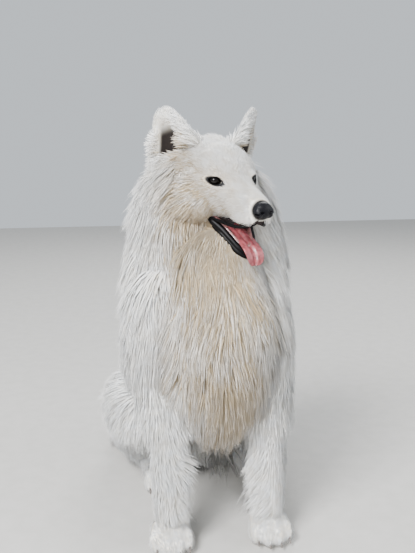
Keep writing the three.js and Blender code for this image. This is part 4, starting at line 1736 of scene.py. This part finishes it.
@dataclass
class Face:
    """The eyes, nose, lips, tongue and teeth, in mm, in the head's frame."""

    wardrobe: Wardrobe
    rim_radius: float = 1.2
    rim_points: int = 16
    rim_ahead: float = 2.2  # how far the rims stand in front of the eyeballs
    nose_pad: tuple = ((0, -82, NOSE_Z), (16.5, 12, 14))
    nose_wing: tuple = ((9.5, -84, -35), (8.5, 9, 10))
    nostril: tuple = ((8.5, -94, -34), (3.4, 6, 2.8))
    slit: tuple = ((14, -88, -37), (5, 5, 1.3))
    upper_lip: tuple = (
        (38, 14, -60), (36, 2, -61), (31, -22, -63), (27, -44, -64), (21, -62, -62),
        (11, -73, -57), (0, -76, -52),
    )
    lower_lip: tuple = (
        (38, 14, -61), (34, 2, -67), (27, -16, -77), (20, -34, -90), (13, -46, -100), (0, -51, -105),
    )
    lip_radii: tuple = (2.6, 6.0)
    gum_radius: float = 3.6
    nose_voxel: float = 0.9
    lining_voxel: float = 1.6
    throat: tuple = ((0, 10, -76), (32, 14, 22))
    roof: tuple = ((0, -28, -60), (17, 36, 4))
    tongue_stations: tuple = (
        ((0, 14, -70), 15, 5, 0.3), ((1, -14, -79), 16, 5.5, 0.5), ((3, -40, -93), 16.5, 5.5, 0.65),
        ((3, -57, -100), 17.5, 5, 0.9), ((4, -66, -109), 17.5, 4.6, 1.3), ((4, -69, -118), 15, 4, 1.5),
        ((4, -69, -125), 9.5, 3, 1.55),
    )  # middle, half-width, half-thickness and slope in radians
    groove: tuple = (1.6, 0.18)  # depth and width, as shares of the thickness and half-width
    edge_rise: float = 3.5
    canine: tuple = ((11.5, -46, -98), 3.0, 12)  # the left one's place, radius and height
    upper_canine: tuple = ((13, -52, -61), 2.6, 8)
    incisors: int = 6
    incisor_pitch: float = 3.2
    side_teeth: int = 3  # on each side
    tooth_lean: float = 0.25
    upper_lean: float = 0.15

    def eyes(self) -> None:
        """Model the eyeballs and the black rims of the lids."""
        for side, sense in SIDES:
            eye = ball((sense * EYE_X, EYE_Y, 0), (EYE_R,) * 3, segments=40)
            eye.name = "eyeball_" + side
            self.wardrobe.dress(eye, Finish.EYE, HEAD_TO_PACKED, "eye_" + side)
            points = []
            for k in range(self.rim_points):
                a = 2 * math.pi * k / self.rim_points
                x = ALMOND[0] * math.cos(a)
                z = ALMOND[1] * math.copysign(abs(math.sin(a)) ** ALMOND_POINT, math.sin(a))
                depth = (EYE_R + self.rim_ahead) ** 2 - x * x * 0.9 - z * z
                y = 0.6 - math.sqrt(max(1.0, depth))
                points.append(tuple(eye_matrix(sense) @ Vector((x, y, z))))
            rim = tube(points, self.rim_radius, "eye_rim_" + side, taper=False, closed=True)
            self.wardrobe.dress(rim, Finish.LIP, HEAD_TO_PACKED)

    def nose(self) -> None:
        """Model the nose pad with its nostrils."""
        forms = [ball(*self.nose_pad, segments=40)]
        forms += [side_ball(self.nose_wing, sense, segments=24) for _, sense in SIDES]
        nose = join(forms, "nose_pad")
        settle(nose, Matrix.Identity(4))
        remesh(nose, self.nose_voxel, 4)
        for _, sense in SIDES:
            cut(nose, side_ball(self.nostril, sense, turn=0.6))
            cut(nose, side_ball(self.slit, sense, turn=0.8))
        self.wardrobe.dress(nose, Finish.NOSE, HEAD_TO_PACKED, "nose")

    def lips(self) -> None:
        """Model the dark edges of the lips, the fold below the lower one, and the gums."""
        upper = through_the_middle(self.upper_lip)
        lower = through_the_middle(self.lower_lip)
        fold = [(x * 1.02, y - 1, z - 7) for x, y, z in lower[1:-1]]
        thin, full = self.lip_radii
        made = [tube(upper, thin, "lip"), tube(lower, full, "lip"), tube(fold, full, "lip")]
        self.wardrobe.dress(join(made, "lips"), Finish.LIP, HEAD_TO_PACKED)
        inner = [(x * 0.84, y + 2, z + 6) for x, y, z in lower]
        gums = tube(inner, self.gum_radius, "gums")
        self.wardrobe.dress(gums, Finish.GUM, HEAD_TO_PACKED)

    def lining(self) -> None:
        """Model the back of the mouth and its roof: dark red flesh, painted near-black as the shade
        inside the mouth.
        """
        forms = [ball(*form, segments=32) for form in (self.throat, self.roof)]
        lining = join(forms, "mouth_lining_painted_shade")
        settle(lining, Matrix.Identity(4))
        remesh(lining, self.lining_voxel, 2)
        self.wardrobe.dress(lining, Finish.MOUTH, HEAD_TO_PACKED)

    def tongue(self) -> None:
        """Model the tongue, with its groove and its raised edges."""
        a = 2 * np.pi * (np.arange(28) + 0.5) / 28
        depth, width = self.groove
        groove = np.where(np.sin(a) > 0, 1 - depth * np.exp(-((np.cos(a) / width) ** 2)), 1)
        rise = self.edge_rise * np.cos(a) ** 4
        rings = []
        for at, half, thick, slope in self.tongue_stations:
            up = np.array([0, -math.sin(slope), math.cos(slope)])
            ring = np.array(at) + np.outer(half * np.cos(a), (1, 0, 0))
            rings.append(ring + np.outer(thick * groove * np.sin(a) + rise, up))
        tongue = loft(np.array(rings), "tongue_surface")
        apply_modifier(tongue, "SUBSURF", levels=2, render_levels=2)
        self.wardrobe.dress(tongue, Finish.TONGUE, HEAD_TO_PACKED, "tongue")

    def teeth(self) -> None:
        """Model the four canines, the lower incisors and the lower side teeth."""
        (x, y, z), radius, height = self.canine
        low = [((sense * x, y, z), radius, height) for _, sense in SIDES]
        for i in range(self.incisors):
            from_middle = i - (self.incisors - 1) / 2
            at = (from_middle * self.incisor_pitch, -50 + abs(from_middle) * 1.2, -101)
            low.append((at, 1.7, 6))
        for _, sense in SIDES:
            for k in range(self.side_teeth):
                low.append(((sense * (17 + 3.6 * k), -32 + 11 * k, -85 + 7.5 * k), 2.6, 9))
        made = [self.tooth(at, radius, height, self.tooth_lean) for at, radius, height in low]
        (x, y, z), radius, height = self.upper_canine
        for _, sense in SIDES:
            made.append(self.tooth((sense * x, y, z), radius, height, math.pi - self.upper_lean))
        self.wardrobe.dress(join(made, "teeth"), Finish.TOOTH, HEAD_TO_PACKED)

    @staticmethod
    def tooth(at: tuple, radius: float, height: float, tilt: float) -> bpy.types.Object:
        """Add one pointed tooth.

        Args:
            at: Its middle.
            radius: Its radius at the root.
            height: Its height.
            tilt: Its turn about X.

        Returns:
            The new object.
        """
        bpy.ops.mesh.primitive_cone_add(
            vertices=12, radius1=radius, radius2=radius * 0.2, depth=height, location=at
        )
        made = bpy.context.object
        made.rotation_euler = Euler((tilt, 0, 0))
        bpy.context.view_layer.update()
        apply_modifier(made, "BEVEL", width=radius * 0.3, segments=2)
        return made


# The studio


@dataclass(frozen=True)
class Lamp:
    """A soft square lamp that points at the chest: its place and size in m, and its power in W."""

    name: str
    at: tuple
    size: float
    power: float

    def build(self) -> None:
        """Add the lamp."""
        lamp = bpy.data.lights.new(self.name, "AREA")
        lamp.size = self.size
        lamp.energy = self.power
        obj = bpy.data.objects.new(self.name, lamp)
        obj.location = self.at
        aim = Vector(CHEST_AT) - Vector(self.at)
        obj.rotation_euler = aim.to_track_quat("-Z", "Y").to_euler()
        bpy.context.scene.collection.objects.link(obj)


@dataclass(frozen=True)
class Studio:
    """The floor, lights, sky and camera."""

    floor: float = 8  # its side, in m
    sky: tuple = (0.88, 0.94, 1.0, 1)
    sky_strength: float = 0.8
    lamps: tuple = (
        Lamp("key", (-1.6, -1.9, 2.6), 1.1, 270),
        Lamp("front", (-0.9, -2.4, 1.0), 0.6, 55),
        Lamp("fill", (2.4, -0.9, 1.6), 2.0, 40),
        Lamp("rim", (0.8, 2.2, 2.4), 1.6, 70),
    )

    def build(self, wardrobe: Wardrobe) -> None:
        """Set up the studio.

        Args:
            wardrobe: The finishes.
        """
        bpy.ops.mesh.primitive_plane_add(size=self.floor, location=(0, 0, 0))
        floor = bpy.context.object
        floor.name = "studio_floor"
        floor.data.materials.append(wardrobe.made[Finish.FLOOR])
        for lamp in self.lamps:
            lamp.build()
        world = bpy.data.worlds.new("studio")
        world.use_nodes = True
        sky = world.node_tree.nodes["Background"]
        sky.inputs["Color"].default_value = self.sky
        sky.inputs["Strength"].default_value = self.sky_strength
        bpy.context.scene.world = world
        self.camera()

    @staticmethod
    def camera() -> None:
        """Add the camera at the photograph's place and angle."""
        data = bpy.data.cameras.new("camera")
        data.lens = CAMERA_LENS
        data.sensor_width = CAMERA_SENSOR
        data.sensor_fit = "AUTO"
        camera = bpy.data.objects.new("camera", data)
        camera.location = (Vector(CAMERA_AT) + SHIFT) * MM
        camera.rotation_euler = Euler((math.pi / 2 - CAMERA_PITCH, 0, CAMERA_TURN))
        bpy.context.scene.collection.objects.link(camera)
        bpy.context.scene.camera = camera


FLESH = (
    "neck", "chest", "torso", "tail", "foreleg_left", "foreleg_right", "forepaw_left",
    "forepaw_right", "thigh_left", "thigh_right", "hind_foot_left", "hind_foot_right",
)


def main() -> None:
    """Build the studio and then the dog's pieces in order."""
    logging.basicConfig(level=logging.INFO, format="%(message)s")
    wardrobe = Wardrobe()
    Studio().build(wardrobe)
    skin = Skin()
    body = skin.body()
    head = skin.head()
    write_markings(body, in_head=False)
    write_markings(head, in_head=True)
    rng = np.random.default_rng(5)
    body_coat(body, rng).build(wardrobe, TO_PACKED)
    head_coat(head, rng).build(wardrobe, TO_PACKED)
    wardrobe.dress(body, Finish.SKIN, TO_PACKED, *FLESH)
    wardrobe.dress(head, Finish.SKIN, HEAD_TO_PACKED, "head", "jaw", "ear_left", "ear_right")
    for paw in PAWS:
        paw.claws(wardrobe)
    face = Face(wardrobe)
    face.eyes()
    face.nose()
    face.lips()
    face.lining()
    face.tongue()
    face.teeth()
    clear_selection()


if __name__ == "__main__":
    main()
